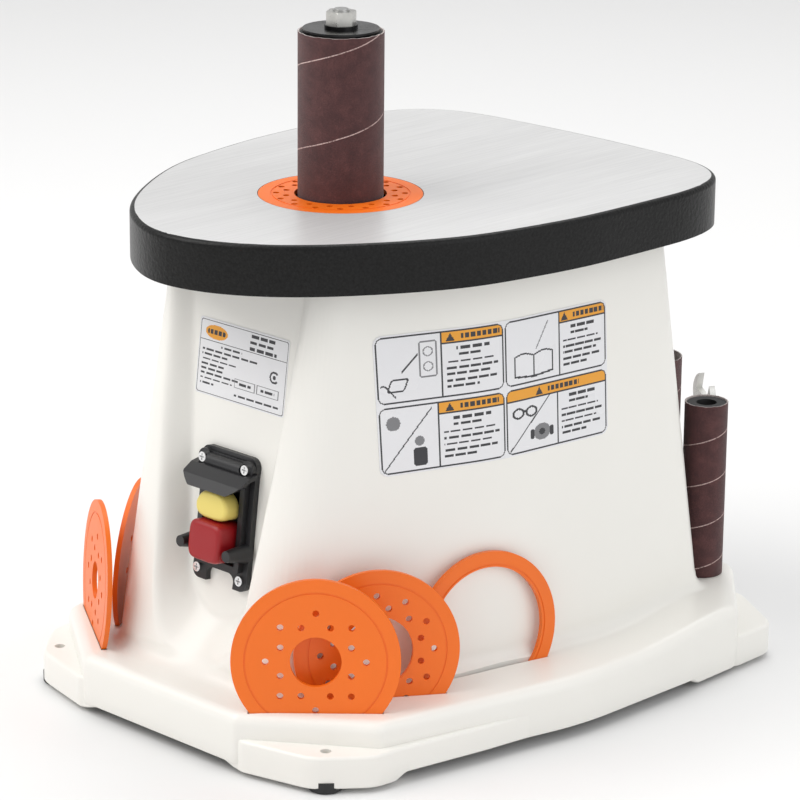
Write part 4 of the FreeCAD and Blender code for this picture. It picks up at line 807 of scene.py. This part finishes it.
def caution_ink(u, v):
    """Four rounded cells. Ink 0 is bare film, 1 orange, 2 dark, 3 grey."""
    ink = np.zeros(u.shape, int)
    cells = [(1.5, 43.5, 79.0, 82.5, 40.0, 79.0), (81.0, 43.5, 158.5, 82.5, 122.0, 158.5),
             (1.5, 1.5, 79.0, 40.5, 37.0, 79.0), (81.0, 1.5, 158.5, 40.5, 81.0, 158.5)]
    for number, (left, low, right, high, head_left, head_right) in enumerate(cells):
        cell = rounded_box(u, v, left, low, right, high, 4.0)
        head = (cell < 0) & (v > high - 7.0) & (u > head_left)
        ink = np.where(head, 1, ink)
        text_left = head_left + 3.0 if number != 3 else 123.0
        divider = text_left - 3.0
        limit = high - (7.0 if number == 3 else 0)
        ink = np.where((cell < 0) & (np.abs(u - divider) < 0.3) & (v < limit), 2, ink)
        ink = np.where((cell < 0) & (np.abs(v - (high - 7.0)) < 0.3) & (u > head_left), 2, ink)
        middle = (head_left + head_right) / 2
        ink = np.where(sign_triangle(u, v, middle - 14.0, high - 3.5, 4.8), 2, ink)
        ink = np.where(head & (np.abs(v - (high - 3.6)) < 1.5) & (np.abs(u - middle - 5) < 12.5)
                       & (np.abs((u - middle) % 3.6 - 1.8) > 0.45), 2, ink)
        ink = np.where(print_bars(u, v, text_left + 6, right - 8, high - 10.5, 3.7, 1.6, (0.96, 0.7)), 2, ink)
        ink = np.where(print_bars(u, v, text_left, right - 3, high - 18.5, 3.7, 1.3, (0.9, 0.98, 0.85, 0.95, 0.6)),
                       2, ink)
        ink = np.where(np.abs(cell) < 0.35, 2, ink)
    socket = rounded_box(u, v, 27, 57, 37, 78, 1.0)
    ring = (np.hypot(u - 32, (v - 72) * 1.1) < 3.2) & (np.hypot(u - 32, v - 72) > 2.3)
    ink = np.where((np.abs(socket) < 0.4) | ring
                   | ((np.hypot(u - 32, (v - 63) * 1.1) < 3.2) & (np.hypot(u - 32, v - 63) > 2.3)), 3, ink)
    plug = rounded_box(u - 0.4 * (v - 55), v, 9, 50, 19, 57, 1.5)
    cord = np.abs(v - 50 - 4 * np.sin(u * 0.35)) < 0.6
    ink = np.where((np.abs(plug) < 0.5) | (cord & (u > 3) & (u < 12)), 2, ink)
    ink = np.where((np.abs((u - 22) - (v - 67)) < 0.9) & (u > 16) & (u < 26), 2, ink)
    spine = np.abs(u - 102)
    curl = 2.0 * np.sin(spine * 0.2)
    book = (v > 46 + 0.10 * spine) & (v < 60 + curl) & (spine < 15)
    inner = (v > 47.2 + 0.1 * spine) & (v < 59 + curl) & (spine < 14.2)
    ink = np.where(book & ~inner | (book & (np.abs(u - 102) < 0.5)), 2, ink)
    ink = np.where((np.abs((u - 108) - 0.6 * (v - 70)) < 0.5) & (v > 63) & (v < 79), 3, ink)
    for left, right in ((3, 33), (83, 119)):
        slope = (v - 3) / 35.0 - (u - left) / (right - left)
        within = (u > left) & (u < right) & (v < 33.5 + 5 * (left < 10))
        ink = np.where((np.abs(slope) < 0.016) & within, 2, ink)
    for cu in (89.5, 99.5):
        lens = np.hypot((u - cu) / 1.35, v - 25.5)
        ink = np.where((lens < 3.4) & (lens > 2.3), 2, ink)
    ink = np.where((np.abs(v - 26.2) < 0.6) & (np.abs(u - 94.5) < 1.6), 2, ink)
    mask = np.hypot((u - 107.5) / 1.2, v - 11.5)
    ink = np.where(mask < 5.2, 3, ink)
    filters = np.minimum(rounded_box(u, v, 98.5, 8, 101.5, 14, 1), rounded_box(u, v, 113.5, 8, 116.5, 14, 1))
    ink = np.where((mask < 2.0) | (filters < 0), 2, ink)
    ink = np.where((np.hypot(u - 9.5, v - 31.0) < 4.3) & (v > 27), 3, ink)
    ink = np.where((np.hypot(u - 25.0, v - 19.0) < 3.0), 3, ink)
    ink = np.where((rounded_box(u, v, 21.0, 4.0, 29.5, 15.0, 2.0) < 0), 2, ink)
    return ink


def rating_ink(u, v):
    """Film with a frame, an oval badge, bars of print, a round mark and two small boxes."""
    frame_line = rounded_box(u, v, 1.0, 1.0, 75.0, 45.0, 1.5)
    ink = np.where(np.abs(frame_line) < 0.3, 2, 0)
    ink = np.where((np.abs(v - 33.0) < 0.3) & (frame_line < 0), 2, ink)
    badge = np.hypot((u - 14.5) / 9.5, (v - 38.6) / 4.3)
    ink = np.where(badge < 1.0, 1, ink)
    ink = np.where((badge < 0.8) & (np.abs(v - 38.6) < 1.3) & (np.abs(u % 3.5 - 1.7) > 0.4), 2, ink)
    ink = np.where(print_bars(u, v, 43, 66, 42.4, 3.6, 2.0, (0.92, 0.86, 1.0)), 2, ink)
    ink = np.where(print_bars(u, v, 19, 38, 30.6, 3.2, 1.4, (0.95,)), 2, ink)
    ink = np.where(print_bars(u, v, 3.5, 52, 27.4, 2.9, 1.1, (0.99, 0.45, 0.62, 0.40, 0.38, 0.66, 0.56, 0.24)), 2, ink)
    mark = np.hypot(u - 65.5, v - 22.0)
    ink = np.where((mark < 3.8) & (mark > 2.6) & ((u < 67.5) | (np.abs(v - 22) > 2)), 2, ink)
    ink = np.where((mark < 1.3), 2, ink)
    for left, right in ((33, 50), (52, 70)):
        ink = np.where(np.abs(rounded_box(u, v, left, 9.5, right, 14.5)) < 0.3, 3, ink)
        ink = np.where(print_bars(u, v, left + 3, right - 3, 12.0, 3, 1.3, (1.0,)), 2, ink)
    ink = np.where(print_bars(u, v, 33, 71, 4.6, 3, 0.9, (1.0,)), 2, ink)
    return ink


film_white = moulded("film_white", (0.80, 0.80, 0.82), 0.28, 0.01)
film_orange = moulded("film_orange", (0.83, 0.36, 0.03), 0.3, 0.04)
film_dark = moulded("film_dark", (0.035, 0.035, 0.04), 0.34, 0.1)
film_grey = moulded("film_grey", (0.22, 0.22, 0.23), 0.34, 0.1)
FILMS = [film_white, film_orange, film_dark, film_grey]


def cell_middles(u, v):
    return np.meshgrid((u[:-1] + u[1:]) / 2, (v[:-1] + v[1:]) / 2)


def make_caution():
    """Film on the convex right wall. At each height the wall is read from its outline there."""
    u, v = np.linspace(0, 160, 321), np.linspace(0, 84, 169)
    front, back = np.empty((169, 321, 3)), np.empty((169, 321, 3))
    for row, height in enumerate(v):
        outline = wall_outline(165.0 + height)
        side = outline[outline[:, 0] > 60]
        side = side[np.argsort(side[:, 1])]
        side = side[(side[:, 1] > -110) & (side[:, 1] < 100)]
        y = -102.0 + u
        x = np.interp(y, side[:, 1], side[:, 0])
        front[row] = np.column_stack([x + 0.33, y, np.full_like(y, 165.0 + height)])
        back[row] = np.column_stack([x + 0.08, y, np.full_like(y, 165.0 + height)])
    mu, mv = cell_middles(u, v)
    keep = rounded_box(mu, mv, 0, 0, 160, 84, 5.5) < 0
    return printed_sheet("caution_film", front, back, keep, caution_ink(mu, mv), FILMS)


def make_rating():
    """Film on the leaning panel of the recess."""
    u, v = np.linspace(0, 76, 191), np.linspace(0, 46.4, 117)
    across, up = np.meshgrid(u - 38.0, v - 23.2)
    lean = math.radians(7.0)
    z = 219.75 + up * math.cos(lean)
    y = -122.8 - (270.0 - 219.75) * math.tan(lean) + up * math.sin(lean)
    front = np.stack([across, y - 0.33 * math.cos(lean), z + 0.33 * math.sin(lean)], axis=-1)
    back = np.stack([across, y - 0.06 * math.cos(lean), z + 0.06 * math.sin(lean)], axis=-1)
    mu, mv = cell_middles(u, v)
    keep = rounded_box(mu, mv, 0, 0, 76, 46.4, 2.0) < 0
    return printed_sheet("rating_film", front, back, keep, rating_ink(mu, mv), FILMS)


for film, node in ((make_caution(), "caution_label"), (make_rating(), "rating_label")):
    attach(film, "root")
    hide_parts(node)
    print(film.name, "faces:", len(film.data.polygons))

# %% [markdown]
# The switch sits square on the leaning panel. Its parts are drawn in the panel's own axes:
# x across, z up the panel and y out of it (negative is nearer). A soft block is a stack of
# rings: each ring is a super-ellipse, |x/a|^n + |z/b|^n = 1, that shrinks as a quarter circle
# toward its face, so that the edges come out round.

# %% Switch
def on_panel(points):
    """Carry points from the panel's axes to the piece: lean by 7 degrees, then move to the panel."""
    lean = math.radians(7.0)
    x, y, z = points[..., 0], points[..., 1], points[..., 2]
    foot = -122.8 - (270.0 - 128.0) * math.tan(lean)
    back = foot + y * math.cos(lean) + z * math.sin(lean)
    up = 128.0 - y * math.sin(lean) + z * math.cos(lean)
    return np.stack([x, back, up], axis=-1) * MM


def soft_block(name, half_x, half_z, middle_z, back, face, edge, power, squeeze=None):
    """Block with a round edge: rings of a super-ellipse from the back to the face."""
    a = np.linspace(0, 2 * math.pi, 96, endpoint=False)
    x = np.sign(np.cos(a)) * np.abs(np.cos(a)) ** (2 / power)
    z = np.sign(np.sin(a)) * np.abs(np.sin(a)) ** (2 / power)
    rings = [(back, 0.0), (face + edge, 0.0)]
    for bend in np.linspace(0.15, math.pi / 2, 7):
        rings.append((face + edge - edge * math.sin(bend), edge - edge * math.cos(bend)))
    rings += [(face, half_x * 0.6), (face, half_x * 0.95)]
    rows = []
    for depth, shrink in rings:
        u, w = (half_x - shrink) * x, max(half_z - shrink, 0.3) * z
        u = u if squeeze is None else u * squeeze(w / half_z)
        rows.append(np.stack([u, depth + 0 * a, middle_z + w], axis=-1))
    return grid_piece(name, on_panel(np.stack(rows)), wrap_columns=True, caps=True)


paddle = soft_block("soft_paddle", 13.6, 12.2, -12.6, -1.5, -20.6, 3.2, 5.0)
key_block = soft_block("soft_key", 13.4, 8.6, 9.2, -5.5, -16.6, 2.6, 3.2,
                       lambda w: 1 - 0.28 * np.clip(w, 0, 1))
SOFT = [(paddle, "switch_paddle", "paddle", "red_plastic", paddle_red),
        (key_block, "safety_key", "key", "yellow_plastic", key_yellow)]
for piece, node, body, slot, finish in SOFT:
    piece.data.materials.append(finish)
    piece.data.set_sharp_from_angle(angle=math.radians(60))
    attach(piece, body)
    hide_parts(node)
    print(piece.name, len(piece.data.polygons))

# %% Dress the frame's own parts
def dress(material, names):
    """Give frame nodes a finish through their own material slots."""
    for name in names.split():
        part = frame["nodes"][name]
        if not part.material_slots:
            part.data.materials.append(material)
        for slot in part.material_slots:
            slot.material = material



dress(table_iron, "table")
dress(insert_orange, "table_insert_2in insert_1in insert_1_5in insert_3in insert_0_75in insert_0_5in")
dress(drum_rubber, "rubber_feet drive_belt rubber_drum_2in rubber_drum_1in rubber_drum_3in rubber_drum_1_5in")
dress(switch_black, "switch_plate switch_hood switch_body cable_gland motor_fan start_capacitor")
dress(port_black, "dust_port spindle_pulley motor_pulley")
dress(zinc, "spindle_nut wrench bottom_cover bottom_cover_screws table_screws")
dress(chrome, "switch_screws")
dress(turned, """spindle spindle_ring drive_hub hub_key crank_axle crank connecting_rod carriage_pin guide_rods
      motor_rotor hub_bearings carriage_bearing drum_washer""")
dress(black_oxide, "top_washer nut_washer")
dress(casting, "drive_frame carriage motor_end_bells motor_can")
dress(bronze, "worm_wheel axle_bushes")
dress(copper, "motor_stator")
